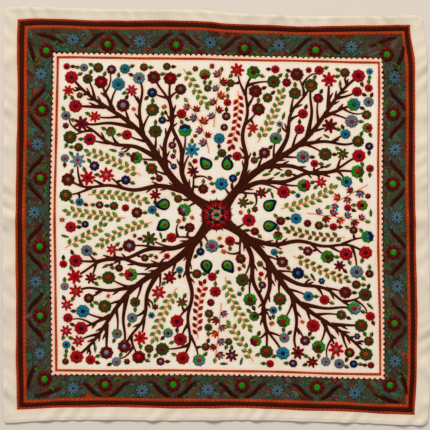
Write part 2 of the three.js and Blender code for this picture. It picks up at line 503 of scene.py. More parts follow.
def calico():
    finish, tree, shader = new_finish("unbleached_calico")
    place = add_node(tree, "ShaderNodeTexCoord").outputs["Object"]

    stain = add_node(tree, "ShaderNodeTexNoise", {
        "Vector": place, "Scale": 1 / (STAIN_SIZE * MM), "Detail": 3.0, "Roughness": 0.6})
    aged = add_node(tree, "ShaderNodeMapRange", {
        "Value": stain.outputs["Fac"], "From Min": 0.45, "From Max": 0.75})
    colour = add_node(tree, "ShaderNodeMix", {
        0: aged.outputs["Result"], 6: dye(CREAM), 7: dye(CREAM_AGED)}, data_type="RGBA")

    slubs = []
    for stretch in ((SLUB_LONG, SLUB_WIDE), (SLUB_WIDE, SLUB_LONG)):
        scale = (1 / (stretch[0] * MM), 1 / (stretch[1] * MM), 1)
        mapped = add_node(tree, "ShaderNodeMapping", {"Vector": place, "Scale": scale})
        slub = add_node(tree, "ShaderNodeTexNoise", {
            "Vector": mapped.outputs["Vector"], "Scale": 1.0, "Detail": 1.0})
        slubs.append(slub.outputs["Fac"])
    both = add_node(tree, "ShaderNodeMath", {0: slubs[0], 1: slubs[1]}, operation="ADD")
    paler = add_node(tree, "ShaderNodeMapRange", {
        "Value": both.outputs[0], "From Min": 0.95, "From Max": 1.3, "To Max": 0.55})

    crept = add_node(tree, "ShaderNodeAttribute", attribute_name="dye_crept")
    # How much painted shade lies in the hollows of the margin's ripples
    shade_in_hollows = add_node(tree, "ShaderNodeAttribute", attribute_name="painted_hollow_shade")
    handled = add_node(tree, "ShaderNodeAttribute", attribute_name="handled")
    tints = ((paler.outputs["Result"], CREAM_PALE), (handled.outputs["Fac"], CREAM_HANDLED),
             (crept.outputs["Fac"], DYE_CREPT), (shade_in_hollows.outputs["Fac"], HOLLOW_SHADE))
    for share, shade in tints:
        colour = add_node(tree, "ShaderNodeMix", {0: share, 6: colour.outputs[2], 7: dye(shade)},
                          data_type="RGBA")
    tree.links.new(colour.outputs[2], shader.inputs["Base Color"])

    waves = []
    for direction in ("X", "Y"):
        wave = add_node(tree, "ShaderNodeTexWave", {
            "Vector": place, "Scale": math.pi / 10 / (WEAVE_PITCH * MM), "Distortion": 0.6,
            "Detail": 1.0}, bands_direction=direction)
        waves.append(wave.outputs["Fac"])
    weave = add_node(tree, "ShaderNodeMath", {0: waves[0], 1: waves[1]}, operation="MULTIPLY")
    relief = add_node(tree, "ShaderNodeMath", {
        0: both.outputs[0], 1: 0.9, 2: weave.outputs[0]}, operation="MULTIPLY_ADD")
    bump = add_node(tree, "ShaderNodeBump", {
        "Height": relief.outputs[0], "Strength": 0.6, "Distance": WEAVE_DEPTH * MM})
    tree.links.new(bump.outputs["Normal"], shader.inputs["Normal"])

    shader.inputs["Roughness"].default_value = 0.9
    shader.inputs["Specular IOR Level"].default_value = 0.2
    shader.inputs["Sheen Weight"].default_value = 0.08
    shader.inputs["Sheen Roughness"].default_value = 0.6
    return finish


def store_number(mesh, name, values):
    """Keeps one number for each point of a mesh."""
    kept = mesh.attributes.new(name, "FLOAT", "POINT")
    kept.data.foreach_set("value", np.asarray(values, float).ravel())


CALICO = calico()
cotton_sheet.data.materials.append(CALICO)
grid_places = sheet_points()[0].reshape(-1, 2)
handled_share = 1 - eased(inset_at(*cut_place(grid_places)), HANDLED_TO, CLEAN_FROM)
store_number(cotton_sheet.data, "handled", np.tile(handled_share, 2))
print("calico nodes:", len(CALICO.node_tree.nodes))

# %% [markdown]
# ## Embroidery thread
# The thread is stranded cotton, dyed by hand, so the same skein runs lighter and darker.
# It has the soft gloss of twisted cotton and no shine. A flat colour would look like
# paint. Each stitch carries a `tone` of its own from 0 to 1, which shifts its shade, and
# a slow noise shifts whole patches as a new length of thread does.

# %% Dye the threads
PATCH_SIZE = 45
TWIST_PITCH = 1.1
TWIST_DEPTH = 0.08
DARK_SHADE = 0.72
LIGHT_SHADE = 1.32

# The dye of each thread, and the slot that it fills
THREADS = {
    "bark": ("#320e03", "thread_brown"),
    "bark_core": ("#1e0a03", "thread_brown"),
    "bark_olive": ("#45240f", "thread_brown"),
    "bark_red": ("#480c02", "thread_brown"),
    "maroon": ("#5e060a", "thread_red"),
    "crimson": ("#a5060d", "thread_red"),
    "rust": ("#9a3411", "thread_red"),
    "flame": ("#cc5c28", "thread_red"),
    "stem": ("#d07a3c", "thread_red"),
    "rose": ("#8d5240", "thread_border"),
    "plum": ("#340730", "thread_blue"),
    "navy": ("#170f3c", "thread_blue"),
    "teal": ("#12718c", "thread_blue"),
    "slate": ("#5b7a86", "thread_blue"),
    "dusk": ("#3a6678", "thread_blue"),
    "lime": ("#6b8830", "thread_green"),
    "fern": ("#3a7019", "thread_green"),
    "emerald": ("#1f8517", "thread_green"),
    "olive": ("#35400c", "thread_green"),
    "cream": ("#d9d2c5", "cotton"),
    "jade": ("#14624a", "thread_border"),
    "ground_teal": ("#22573f", "thread_border"),
    "ground_slate": ("#3b5856", "thread_border"),
    "ground_moss": ("#414a33", "thread_border"),
    "ground_earth": ("#5a3b28", "thread_border"),
    "ground_dark": ("#372c1f", "thread_border"),
}


def shaded(hex_code, factor):
    """A darker or lighter shade of the same dye."""
    return tuple(min(1.0, c * factor) for c in dye(hex_code)[:3]) + (1.0,)


def stranded_cotton(name, hex_code):
    finish, tree, shader = new_finish("stranded_cotton_" + name)
    place = add_node(tree, "ShaderNodeTexCoord").outputs["Object"]
    tone = add_node(tree, "ShaderNodeAttribute", attribute_name="tone")
    patch = add_node(tree, "ShaderNodeTexNoise", {
        "Vector": place, "Scale": 1 / (PATCH_SIZE * MM), "Detail": 1.0})
    shift = add_node(tree, "ShaderNodeMath", {
        0: tone.outputs["Fac"], 1: 0.6, 2: patch.outputs["Fac"]}, operation="MULTIPLY_ADD")
    share = add_node(tree, "ShaderNodeMapRange", {
        "Value": shift.outputs[0], "From Min": 0.35, "From Max": 1.25})
    colour = add_node(tree, "ShaderNodeMix", {
        0: share.outputs["Result"], 6: shaded(hex_code, DARK_SHADE),
        7: shaded(hex_code, LIGHT_SHADE)}, data_type="RGBA")
    tree.links.new(colour.outputs[2], shader.inputs["Base Color"])

    twist = add_node(tree, "ShaderNodeTexNoise", {
        "Vector": place, "Scale": 1 / (TWIST_PITCH * MM), "Detail": 2.0})
    bump = add_node(tree, "ShaderNodeBump", {
        "Height": twist.outputs["Fac"], "Strength": 0.5, "Distance": TWIST_DEPTH * MM})
    tree.links.new(bump.outputs["Normal"], shader.inputs["Normal"])
    shader.inputs["Roughness"].default_value = 0.75
    shader.inputs["Specular IOR Level"].default_value = 0.06
    return finish


COTTON = {name: stranded_cotton(name, code) for name, (code, _) in THREADS.items()}
print("skeins:", ", ".join(COTTON))

# %% [markdown]
# ## Padding and stitches
# A worked motif has two layers. Padding lifts it off the cloth and hides the ground, and
# rows of stitches cover the padding. Every motif below is drawn as outlines (the padding)
# and short straight lines (one for each stitch), kept by thread. The real rows are 1.5 mm
# wide with 3 mm stitches; they are drawn at 2.2 mm by 5 mm, so that they show.

# %% Plan the needlework, thread by thread
ROW = 2.2
STITCH = 5.0


def lengths_along(line):
    steps = np.hypot(*np.diff(line, axis=0).T)
    return np.concatenate([[0], np.cumsum(steps)])


def evenly(line, spacing):
    """The line again, with points about this far apart."""
    line = np.asarray(line, float)
    run = lengths_along(line)
    count = max(1, round(run[-1] / spacing))
    at = np.linspace(0, run[-1], count + 1)
    return np.stack([np.interp(at, run, line[:, 0]), np.interp(at, run, line[:, 1])], axis=1)


def beside(line, distance):
    """The line moved to its left by a distance, which may differ from point to point."""
    line = np.asarray(line, float)
    heading = np.gradient(line, axis=0)
    heading = heading / np.maximum(np.hypot(*heading.T), 1e-9)[:, None]
    left = np.stack([-heading[:, 1], heading[:, 0]], axis=1)
    return line + left * np.reshape(distance, (-1, 1))


def polar(centre, angle, radius):
    """Points at these angles and radii from a centre."""
    angle, radius = np.broadcast_arrays(np.asarray(angle, float), np.asarray(radius, float))
    spread = np.stack([radius * np.cos(angle), radius * np.sin(angle)], axis=-1)
    return np.asarray(centre, float) + spread


class Needlework:
    """Padding and stitches by thread, in millimetres."""

    def __init__(self):
        self.pads = {thread: [] for thread in THREADS}
        self.strips = {thread: [] for thread in THREADS}
        self.stitches = {thread: [] for thread in THREADS}

    def pad(self, thread, outline, level=0):
        """A padded patch. The outline runs anticlockwise and its middle sees all of it."""
        self.pads[thread].append((np.asarray(outline, float), level))

    def strip(self, thread, left, right, level=0):
        """A padded band between two lines with the same number of points."""
        self.strips[thread].append((np.asarray(left, float), np.asarray(right, float), level))

    def sew(self, thread, starts, ends, width=ROW, level=0):
        """Straight stitches."""
        starts, ends = np.atleast_2d(starts), np.atleast_2d(ends)
        facts = np.stack([np.full(len(starts), width), np.full(len(starts), level)], axis=1)
        self.stitches[thread].append(np.hstack([starts, ends, facts]))

    def row(self, thread, line, width=ROW, stitch=STITCH, level=0):
        """A row of stitches along a line."""
        points = evenly(line, stitch)
        self.sew(thread, points[:-1], points[1:], width, level)

    def placed(self, place):
        """The same work with every point moved by a function."""
        moved = Needlework()
        for thread in THREADS:
            for outline, level in self.pads[thread]:
                moved.pad(thread, place(outline), level)
            for left, right, level in self.strips[thread]:
                moved.strip(thread, place(left), place(right), level)
            for sewn in self.stitches[thread]:
                ends = [place(sewn[:, :2]), place(sewn[:, 2:4]), sewn[:, 4:]]
                moved.stitches[thread].append(np.hstack(ends))
        return moved

    def add(self, other):
        for thread in THREADS:
            self.pads[thread] += other.pads[thread]
            self.strips[thread] += other.strips[thread]
            self.stitches[thread] += other.stitches[thread]

    def count(self):
        return sum(len(sewn) for thread in THREADS for sewn in self.stitches[thread])


print("row and stitch, mm:", ROW, STITCH)

# %% [markdown]
# ## The lines of the border
# The border is a band 83 mm deep all round, between an outer and an inner four-sided
# line. A place in the band is a share along one side and a depth in millimetres from
# the outer line, so corners mitre by themselves. The outer line bows with the edge of the
# cloth, because both were drawn together before it was washed.

# %% Lay out the band
BAND_DEPTH = 83
OUTER_CORNERS = ((-423.2, 419.3), (412.8, 407.6), (422.4, -423.1), (-425.3, -412.5))
INNER_CORNERS = ((-338.9, 339.3), (346.7, 327.6), (349.9, -337.8), (-342.2, -329.3))
INNER_BOWS = {
    "top": [(0, 0), (0.5, 1.5), (1, 0)],
    "bottom": [(0, 0), (0.5, -3.5), (1, 0)],
    "left": [(0, 0), (0.5, 4.5), (1, 0)],
    "right": [(0, 0), (0.5, -3.0), (1, 0)],
}
SIDES = ("top", "right", "bottom", "left")
HAND_WOBBLE = 0.35
# The sway of the hand: (share, length of the wave, how far it starts on for each mm of depth)
HAND_WAVES = ((1, 37, 0), (0.6, 14.3, 1), (0.5, 91, 0))


def side_shares(side, along):
    """across and down for places along a side, taken clockwise."""
    along = np.asarray(along, float)
    zero, one = np.zeros_like(along), np.ones_like(along)
    return {"top": (along, zero), "right": (one, along), "bottom": (1 - along, one),
            "left": (zero, 1 - along)}[side]


def band_place(side, along, depth):
    """A place in the band. along runs clockwise from 0 to 1."""
    across, down = side_shares(side, along)
    outer = bowed(across, down, OUTER_CORNERS, BOWS)
    inner = bowed(across, down, INNER_CORNERS, INNER_BOWS)
    share = np.asarray(depth, float)[..., None] / BAND_DEPTH
    return outer + (inner - outer) * share


def band_line(depth, wobble=HAND_WOBBLE, steps=150):
    """A closed line right round, at one depth, drawn by a hand that isn't quite steady."""
    along = np.linspace(0, 1, steps)
    sides = [band_place(side, along, np.full(steps, float(depth)))[:-1] for side in SIDES]
    line = np.concatenate(sides + [sides[0][:1]])
    waves = [(share, length, onward * depth) for share, length, onward in HAND_WAVES]
    return beside(line, wobble * swayed(lengths_along(line), waves))


print("band round, mm:", round(lengths_along(band_line(0))[-1]))

# %% [markdown]
# ## The three outer lines and the inner one
# Three bands of chain stitch frame the border: rust, dark brown with maroon, and rust again
# with lighter stitches between. One rust line of two rows closes it on the inside. Each
# band has its padding first, and then its rows.

# %% Work the lines
# Each line: padding, depth of its outer and of its inner side, and the threads of its
# rows. A row named with two threads has them turn about.
LINES = [
    ("rust", 0.2, 5.2, (("rust",), ("rust", "maroon"))),
    ("bark", 5.2, 14.4, (("bark",), ("maroon", "bark"), ("bark",), ("maroon", "bark"))),
    ("rust", 14.4, 21.6, (("rust",), ("flame", "rust"), ("rust",))),
    ("rust", 81.0, 86.2, (("rust",), ("rust", "flame"))),
]
ROW_OVERLAP = 1.12


def turn_about(work, threads, line, width):
    """A row in which the threads take turns, stitch by stitch."""
    points = evenly(line, STITCH)
    for number, thread in enumerate(threads):
        starts = points[:-1][number::len(threads)]
        ends = points[1:][number::len(threads)]
        work.sew(thread, starts, ends, width)


border = Needlework()
for padding, outside, inside, rows in LINES:
    border.strip(padding, band_line(inside), band_line(outside))
    spacing = (inside - outside) / len(rows)
    for number, threads in enumerate(rows):
        line = band_line(outside + spacing * (number + 0.5))
        turn_about(border, threads, line, spacing * ROW_OVERLAP)
print("stitches in the lines:", border.count())

# %% [markdown]
# ## Motifs
# Everything on the cloth is built from a few motifs that this kind of needlework repeats:
# round rosettes, pointed stars, buds, leaves in two greens, and dark limbs. A rosette's
# petal is three long stitches that fan out from its heart. A limb has a row along each edge
# and straight rows between them. Sizes within a motif are shares of its own size.

# %% Draw the motifs
# A flower's heart: its ring of stitches, and the stitch across
HEART_POINTS = 12
HEART_STITCHES = 6
HEART_RING = 0.66
HEART_RING_WIDTH = 0.72
HEART_ACROSS = 0.35
HEART_ACROSS_WIDTH = 0.7
# The three stitches of a rosette's petal: where they lie in it, and how far out they go
PETAL_FAN = np.array([-0.28, 0.0, 0.28])
PETAL_REACH = (0.96, 1.05, 0.96)
PETAL_ROOT = 0.8
PETAL_STITCH = 0.25
# The scalloped padding under the petals: its points for each petal, and its rim
SCALLOP_POINTS = 5
PETAL_HOLLOW = 0.84
PETAL_ROUND = 0.12
CUP_FROM = 0.1
# Dark stitches between the petals, painted shade in the gaps between them, on rosettes with at least this
# radius in millimetres
PETAL_SHADE_FROM = 8.5
PETAL_SHADE_REACH = 0.9
PETAL_SHADE_WIDTH = 0.11
PETAL_SHADE_LEVEL = 0.8
STAR_ROOT = 0.15
STAR_PETAL = 3.3
STAR_HEART = 0.24
# A leaf's outline: places along it, and its half width there
LEAF_ALONG = np.array([0, 0.2, 0.45, 0.72, 1])
LEAF_HALF = np.array([0.05, 0.8, 1.0, 0.72, 0.0])
# Its rows: how far they lie from its middle, and their width. Broad leaves, from this width
# in millimetres, have two in each half.
LEAF_BROAD = 6.6
STAR_BROAD = 12
NARROW_ROWS = ((0.25,), 0.56)
BROAD_ROWS = ((0.13, 0.36), 0.34)
ROW_BEND = np.array([0.5, 1.1, 0.2])
ROW_TUCK = 1.2
# A limb: how much of it is padded, and the rows of half width that an edge row and a row
# inside need
LIMB_PADDED = 0.92
LIMB_STITCH = 0.9
EDGE_ROW_FROM = 0.75
INNER_ROW_FROM = 0.85
LIMB_OVERLAP = 1.05
SKEIN_RUN = (3, 11)
BOUGH_BROWNS = ("bark", "bark_olive", "bark", "bark_red", "bark_red")
CORE_BROWNS = ("bark_core", "bark_olive", "bark", "bark_red")
# A bud: how far its outer petals and the leaves of its cup swing out, and their sizes
BUD_SWING = 0.55
BUD_WIDTH = 0.42
CUP_SWING = 1.15
CUP_LENGTH = 0.72
CUP_WIDTH = 0.36
CUP_DROP = 0.1

skein_chance = np.random.default_rng(8)


def turned_to(angle):
    return np.array([math.cos(angle), math.sin(angle)])


def heart(work, centre, radius, thread, turn=0.0, level=1):
    """The round middle of a flower: a ring of stitches and one across."""
    rim = np.linspace(0, math.tau, HEART_POINTS, endpoint=False)
    work.pad(thread, polar(centre, rim, radius), level)
    ring = polar(centre, turn + np.linspace(0, math.tau, HEART_STITCHES + 1), radius * HEART_RING)
    work.sew(thread, ring[:-1], ring[1:], radius * HEART_RING_WIDTH, level)
    across = turned_to(turn) * radius * HEART_ACROSS
    work.sew(thread, centre - across, centre + across, radius * HEART_ACROSS_WIDTH, level)


def rosette(work, centre, radius, petal, middle, petals=8, turn=0.0, share=0.36, level=0, cup=None):
    """A round flower with broad petals, and dark stitches between them that are painted shade.

    Where cup names a thread, the petals away from turn are worked in it.
    """
    centre = np.asarray(centre, float)
    angle = np.linspace(0, math.tau, petals * SCALLOP_POINTS, endpoint=False)
    scallop = radius * (PETAL_HOLLOW + PETAL_ROUND * np.cos(petals * (angle - turn)))
    work.pad(petal, polar(centre, angle, scallop), level)
    fan = (np.arange(petals)[:, None] + PETAL_FAN) * math.tau / petals
    reach = radius * np.tile(PETAL_REACH, petals)
    width = PETAL_STITCH * radius * math.tau / petals
    away = np.repeat(np.cos(fan[:, 1]) < CUP_FROM, len(PETAL_FAN))
    fan = turn + fan.ravel()
    for thread, own in ((petal, ~away), (cup or petal, away)):
        work.sew(thread, polar(centre, fan[own], radius * share * PETAL_ROOT),
                 polar(centre, fan[own], reach[own]), width, level)
    # Painted shade: dark stitches in the gaps between the petals
    if radius > PETAL_SHADE_FROM:
        shade_lines = turn + (np.arange(petals) + 0.5) * math.tau / petals
        work.sew("bark_core", polar(centre, shade_lines, radius * share),
                 polar(centre, shade_lines, radius * PETAL_SHADE_REACH), radius * PETAL_SHADE_WIDTH, level + PETAL_SHADE_LEVEL)
    heart(work, centre, radius * share, middle, turn, level + 1)


def star(work, centre, radius, petal, middle, points=8, turn=0.0, level=0):
    """A flower with pointed petals."""
    centre = np.asarray(centre, float)
    for number in range(points):
        outwards = turned_to(turn + number * math.tau / points) * radius
        leaf(work, centre + outwards * STAR_ROOT, centre + outwards, radius * STAR_PETAL / points,
             petal, petal, level, STAR_BROAD)
    heart(work, centre, radius * STAR_HEART, middle, turn, level + 1)


def leaf(work, root, tip, width, first, second, level=0, broad=LEAF_BROAD):
    """A leaf worked in two halves, of one row each or, where it is broad, of two."""
    line = np.array([root, np.add(root, tip) / 2, tip], float)
    spine = line[0] + LEAF_ALONG[:, None] * (line[2] - line[0])
    half = LEAF_HALF * width / 2
    right, left = beside(spine, -half), beside(spine, half)
    work.pad(second, np.concatenate([right, left[-2:0:-1]]), level)
    offsets, share = NARROW_ROWS if width < broad else BROAD_ROWS
    for offset in offsets:
        inner = line.copy()
        inner[[0, -1]] += (line[1] - line[[0, -1]]) * (offset - offsets[0]) * ROW_TUCK
        for side, thread in ((offset, first), (-offset, second)):
            bent = beside(inner, width * side * ROW_BEND)
            work.sew(thread, bent[:-1], bent[1:], width * share, level)


def from_skeins(count, skeins):
    """The thread of each stitch in a row: a few stitches from one skein, then another."""
    shades = []
    while len(shades) < count:
        shade = skeins[skein_chance.integers(len(skeins))]
        shades += [shade] * skein_chance.integers(*SKEIN_RUN)
    return np.array(shades[:count])


def limb(work, line, half, padding, skeins, core, level=0):
    """A tapering limb. half is its half width at each point; core is for the rows inside."""
    share = lengths_along(line)
    share = share / share[-1]
    line = evenly(line, STITCH * LIMB_STITCH)
    half = np.interp(np.linspace(0, 1, len(line)), share, half)
    work.strip(padding, beside(line, half * LIMB_PADDED), beside(line, -half * LIMB_PADDED), level)
    middle = (half[:-1] + half[1:]) / 2
    edged = middle >= ROW * EDGE_ROW_FROM
    most = int(half.max() // ROW)
    rows = [(side * (half - ROW / 2), edged, False) for side in (1, -1)]
    for number in range(-most, most + 1):
        wanted = abs(number) * ROW < middle - ROW * INNER_ROW_FROM
        if number == 0:
            wanted = wanted | ~edged
        rows.append((np.full(len(half), number * ROW), wanted, abs(number) * ROW < most / 2))
    for number, (offset, wanted, deep) in enumerate(rows):
        points = beside(line, offset)
        slip = 0.5 * (number % 2)
        starts = points[:-1] + slip * (points[1:] - points[:-1])
        ends = points[1:].copy()
        ends[:-1] += slip * (points[2:] - points[1:-1])
        shades = from_skeins(len(starts), core if deep else skeins)
        for shade in sorted(set(shades[wanted])):
            own = wanted & (shades == shade)
            work.sew(str(shade), starts[own], ends[own], ROW * LIMB_OVERLAP, level)


def bud(work, centre, angle, length, petal, tip, cup):
    """A bud of three petals in a green cup."""
    centre = np.asarray(centre, float)
    for swing, thread in ((-BUD_SWING, petal), (BUD_SWING, petal), (0.0, tip)):
        end = centre + turned_to(angle + swing) * length
        leaf(work, centre, end, length * BUD_WIDTH, thread, thread)
    for swing in (-CUP_SWING, CUP_SWING):
        end = centre + turned_to(angle + swing) * length * CUP_LENGTH
        leaf(work, centre - turned_to(angle) * length * CUP_DROP, end, length * CUP_WIDTH, cup, cup)


print("motifs: rosette, star, bud, leaf, limb")

# %% [markdown]
# ## Flowers of the border
# Along each side of the band, dark rosettes with green hearts alternate with blue
# flowers. A pair of dark leaf strokes slopes down from every rosette to the blue flowers
# beside it, so the band reads as a zigzag. The places follow the real cloth, where the
# maker spaced them by eye.

# %% Work the flowers of the border
# Clockwise along each side: (along, depth) of the rosettes and of the blue flowers. The
# first rosette of a side is the one in its corner.
BORDER_ROSETTES = {
    "top": [(0.0, 60), (0.185, 54), (0.383, 53.5), (0.58, 56.5), (0.787, 57.5)],
    "right": [(0.0, 62), (0.193, 50.5), (0.398, 50.5), (0.598, 50.5), (0.805, 50.5)],
    "bottom": [(0.0, 60), (0.217, 51.5), (0.43, 50.5), (0.625, 52), (0.818, 51.5)],
    "left": [(0.0, 58), (0.203, 51), (0.405, 51.5), (0.605, 52), (0.805, 52.5)],
}
BORDER_BLUES = {
    "top": [(0.095, 45), (0.283, 46.5), (0.482, 47.5), (0.677, 47.5), (0.885, 49.5)],
    "right": [(0.09, 47.5), (0.3, 45.5), (0.495, 41.5), (0.693, 43.5), (0.915, 50)],
    "bottom": [(0.118, 42.5), (0.333, 41.5), (0.525, 42), (0.705, 38), (0.9, 43.5)],
    "left": [(0.095, 50), (0.307, 42.5), (0.505, 41), (0.7, 44.5), (0.907, 50)],
}
ROSETTE_RADIUS = 15.5
ROSETTE_TURN = 0.3
BLUE_RADIUS = 13.4
# How far the corner rosettes were set from the mitre: (right, up)
CORNER_SHIFTS = {"top": (0, -9.5), "right": (0, -4.3), "bottom": (0, 0.9), "left": (1, 6.8)}
STROKE_HALF_WIDTH = 4.1
# A stroke's near end, middle and far end from the rosette: (along, outwards)
STROKE = ((9, 24), (30, 19), (31, -1), (53, -6))
CORNER_STROKE = ((-19, 36), (2, 35), (16, 24), (34, 19))
STROKE_ENDS = (0.08, 0.86)
STROKE_FULLNESS = 0.75
STROKE_EDGING = 0.5
OUTLINE_WIDTH = 1.3
OUTLINE_STITCH = 4.4
# The ground stays clear of each motif by a little more than its own radius
STROKE_CLEAR = STROKE_HALF_WIDTH + 0.4
ROSETTE_CLEAR = ROSETTE_RADIUS + 0.6
BLUE_CLEAR = BLUE_RADIUS + 0.2
BLUE_LEAF_CLEAR = 3.6
ROSETTE_LEAF_CLEAR = 4.6
DOT_CLEAR = 2.1
# The green leaves below a rosette, and beside one in a corner: root and tip of the right one
ROSETTE_LEAF = ((18, -8), (31, -14))
CORNER_LEAF = ((17, 12), (25, 22))
ROSETTE_LEAF_WIDTH = 8.5
ROSETTE_HEART = 0.46
# Fine rays over the petals, rust and dark by turns: where they start, threads and widths
RAYS = 16
RAY_FROM = 0.56
RAY_THREADS = (("rust", 1.2), ("bark_core", 2.1))
BLUE_PETALS = 9
BLUE_TURN = 0.2
BLUE_RAY = (0.4, 0.9)
BLUE_RAY_WIDTH = 1.5
# Round a blue flower: four leaves, each from one share to another of its place, and two dots
BLUE_LEAVES = ((-20, 9), (20, 10), (-18, -12), (19, -11))
BLUE_LEAF_SHARES = (0.82, 1.3)
BLUE_LEAF_WIDTH = 7.0
BLUE_DOTS = ((-16, 0), (15, -1))
DOT_RADIUS = 1.8
UPPER = 2

kept_clear = []


def keep_clear(points, radius):
    for point in np.atleast_2d(points):
        kept_clear.append((point[0], point[1], radius))


def band_frame(side, along, depth):
    """A place in the band, with the directions along it (clockwise) and outwards."""
    nearby = along + np.array([-0.01, 0, 0.01])
    before, here, after = band_place(side, nearby, np.full(3, depth))
    onward = (after - before) / np.hypot(*(after - before))
    return here, onward, np.array([-onward[1], onward[0]])


def from_frame(place, onward, outward, steps):
    """Places a number of millimetres onward and outward from a place."""
    steps = np.asarray(steps, float)
    return place + steps[..., :1] * onward + steps[..., 1:] * outward


def curved(points, count=16):
    """A smooth line through an end, pulled by two middle points, to the other end."""
    t = np.linspace(0, 1, count)[:, None]
    a, b, c, d = (np.asarray(p, float) for p in points)
    return (1 - t) ** 3 * a + 3 * (1 - t) ** 2 * t * b + 3 * (1 - t) * t * t * c + t ** 3 * d


def outlined(work, line, thread, width=OUTLINE_WIDTH, stitch=OUTLINE_STITCH, level=UPPER):
    work.row(thread, line, width=width, stitch=stitch, level=level)


def leaf_stroke(points):
    line = curved(points)
    share = np.linspace(0, 1, len(line))
    first, last = STROKE_ENDS
    half = STROKE_HALF_WIDTH * np.sin(math.pi * (first + last * share)) ** STROKE_FULLNESS
    limb(border, line, half, "bark_core", ("bark_core", "bark_olive"), ("bark", "bark_red"), level=1)
    for side, thread in ((1, "maroon"), (-1, "bark_red")):
        outlined(border, beside(line, side * (half + STROKE_EDGING)), thread, level=1)
    keep_clear(evenly(line, 4), STROKE_CLEAR)


def mirrored(points):
    return [(-x, y) for x, y in points]


def ray(work, centre, angle, near, far, thread, width, level=UPPER):
    outlined(work, polar(centre, [angle, angle], [near, far]), thread, width=width, level=level)


def border_rosette(side, along, depth):
    place, onward, outward = band_frame(side, along, depth)
    if along == 0:
        place = place + np.array(CORNER_SHIFTS[side])
    rosette(border, place, ROSETTE_RADIUS, "maroon", "emerald", 8, ROSETTE_TURN, ROSETTE_HEART, level=1)
    for number in range(RAYS):
        angle = ROSETTE_TURN + number * math.tau / RAYS
        ray(border, place, angle, ROSETTE_RADIUS * RAY_FROM, ROSETTE_RADIUS, *RAY_THREADS[number % 2])
    keep_clear(place, ROSETTE_CLEAR)
    return place, onward, outward


def blue_flower(side, along, depth):
    place, onward, outward = band_frame(side, along, depth)
    star(border, place, BLUE_RADIUS, "dusk", "maroon", BLUE_PETALS, BLUE_TURN, level=1)
    near, far = (BLUE_RADIUS * share for share in BLUE_RAY)
    for number in range(BLUE_PETALS):
        angle = BLUE_TURN + (number + 0.5) * math.tau / BLUE_PETALS
        ray(border, place, angle, near, far, "ground_slate", BLUE_RAY_WIDTH, level=1)
    keep_clear(place, BLUE_CLEAR)
    for step in BLUE_LEAVES:
        root, tip = (from_frame(place, onward, outward, np.multiply(step, share))
                     for share in BLUE_LEAF_SHARES)
        leaf(border, root, tip, BLUE_LEAF_WIDTH, "jade", "ground_slate", level=1)
        keep_clear((root + tip) / 2, BLUE_LEAF_CLEAR)
    for step in BLUE_DOTS:
        dot = from_frame(place, onward, outward, step)
        heart(border, dot, DOT_RADIUS, "maroon")
        keep_clear(dot, DOT_CLEAR)


for side in SIDES:
    for number, (along, depth) in enumerate(BORDER_ROSETTES[side]):
        place, onward, outward = border_rosette(side, along, depth)
        if number == 0:
            strokes = (CORNER_STROKE, [(-y, -x) for x, y in CORNER_STROKE])
            leaves = (np.negative(CORNER_LEAF), CORNER_LEAF)
        else:
            strokes = (STROKE, mirrored(STROKE))
            leaves = (mirrored(ROSETTE_LEAF), ROSETTE_LEAF)
        for points in strokes:
            leaf_stroke(from_frame(place, onward, outward, points))
        for ends in leaves:
            root, tip = from_frame(place, onward, outward, ends)
            leaf(border, root, tip, ROSETTE_LEAF_WIDTH, "fern", "olive", level=1)
            keep_clear((root + tip) / 2, ROSETTE_LEAF_CLEAR)
    for along, depth in BORDER_BLUES[side]:
        blue_flower(side, along, depth)
print("stitches with the border's flowers:", border.count())

# %% [markdown]
# ## The ground of the band
# Between the flowers the band is filled solid. The maker worked it as small patches of
# chain stitch, each with its own direction and its own two lengths of blue-green,
# grey-green or brown thread, row about, and ran thin rose and dark red outlines among them.
# A set of seeds shares out the band: every place belongs to its nearest seed. The top has
# more brown than the other sides. This is worked in the flat frame of one side (millimetres
# along, depth), then bent into place.

# %% Fill the ground
GROUND_FROM = 21.6
GROUND_TO = 72.3
PATCH_PITCH = 11.5
SIDE_LENGTH = 838
GROUND_SEED = 23
GROUND_THREADS = ("ground_teal", "ground_slate", "ground_moss", "ground_earth", "ground_dark",
                  "rust", "bark_olive", "maroon")
GROUND_SHARES = (0.26, 0.19, 0.15, 0.15, 0.04, 0.03, 0.03, 0.15)
BROWNER = {"top": 1.4, "right": 1.0, "bottom": 0.95, "left": 1.0}
FILL_THREADS = ("jade", "jade", "ground_slate", "ground_teal", "maroon")
FILLED_SHARE = 0.24
PATCH_GAP = 0.2
GROUND_WIDTH = 2.6
GROUND_LEVEL = 0.25
GROUND_PAD_LEVEL = -0.3
# The stitches of the ground lie between these depths, and its padding reaches under the lines
STITCHES_FROM = GROUND_FROM - 0.4
STITCHES_TO = GROUND_TO - 0.6
PADDED_FROM = GROUND_FROM - 1.5
PADDED_TO = GROUND_TO + 1.2
SEED_INSET = 5
SEED_SHIFT = 0.42
# A patch has up to this many rows on each side of its seed, and stitches each way in a row
PATCH_ROWS = 6
PATCH_RUN = 3
PATCH_ROW = 1.02
PATCH_STITCH = 0.92
BROWN_THREADS = ("ground_earth", "rust", "maroon")
# The loops that are outlined in the ground: half length, half width, row and threads
LOOP_REACH = (6.5, 9.0)
LOOP_BREADTH = (3.4, 5.0)
LOOP_ROW = 1.15
LOOP_THREADS = ("rose", "bark_red", "maroon")
LOOP_FILL_WIDTH = 0.9
LOOP_FILL_LEVEL = 0.6

chance = np.random.default_rng(GROUND_SEED)


def band_flat(side, places):
    """From the flat frame of a side to the cloth."""
    return band_place(side, places[..., 0] / SIDE_LENGTH, places[..., 1])


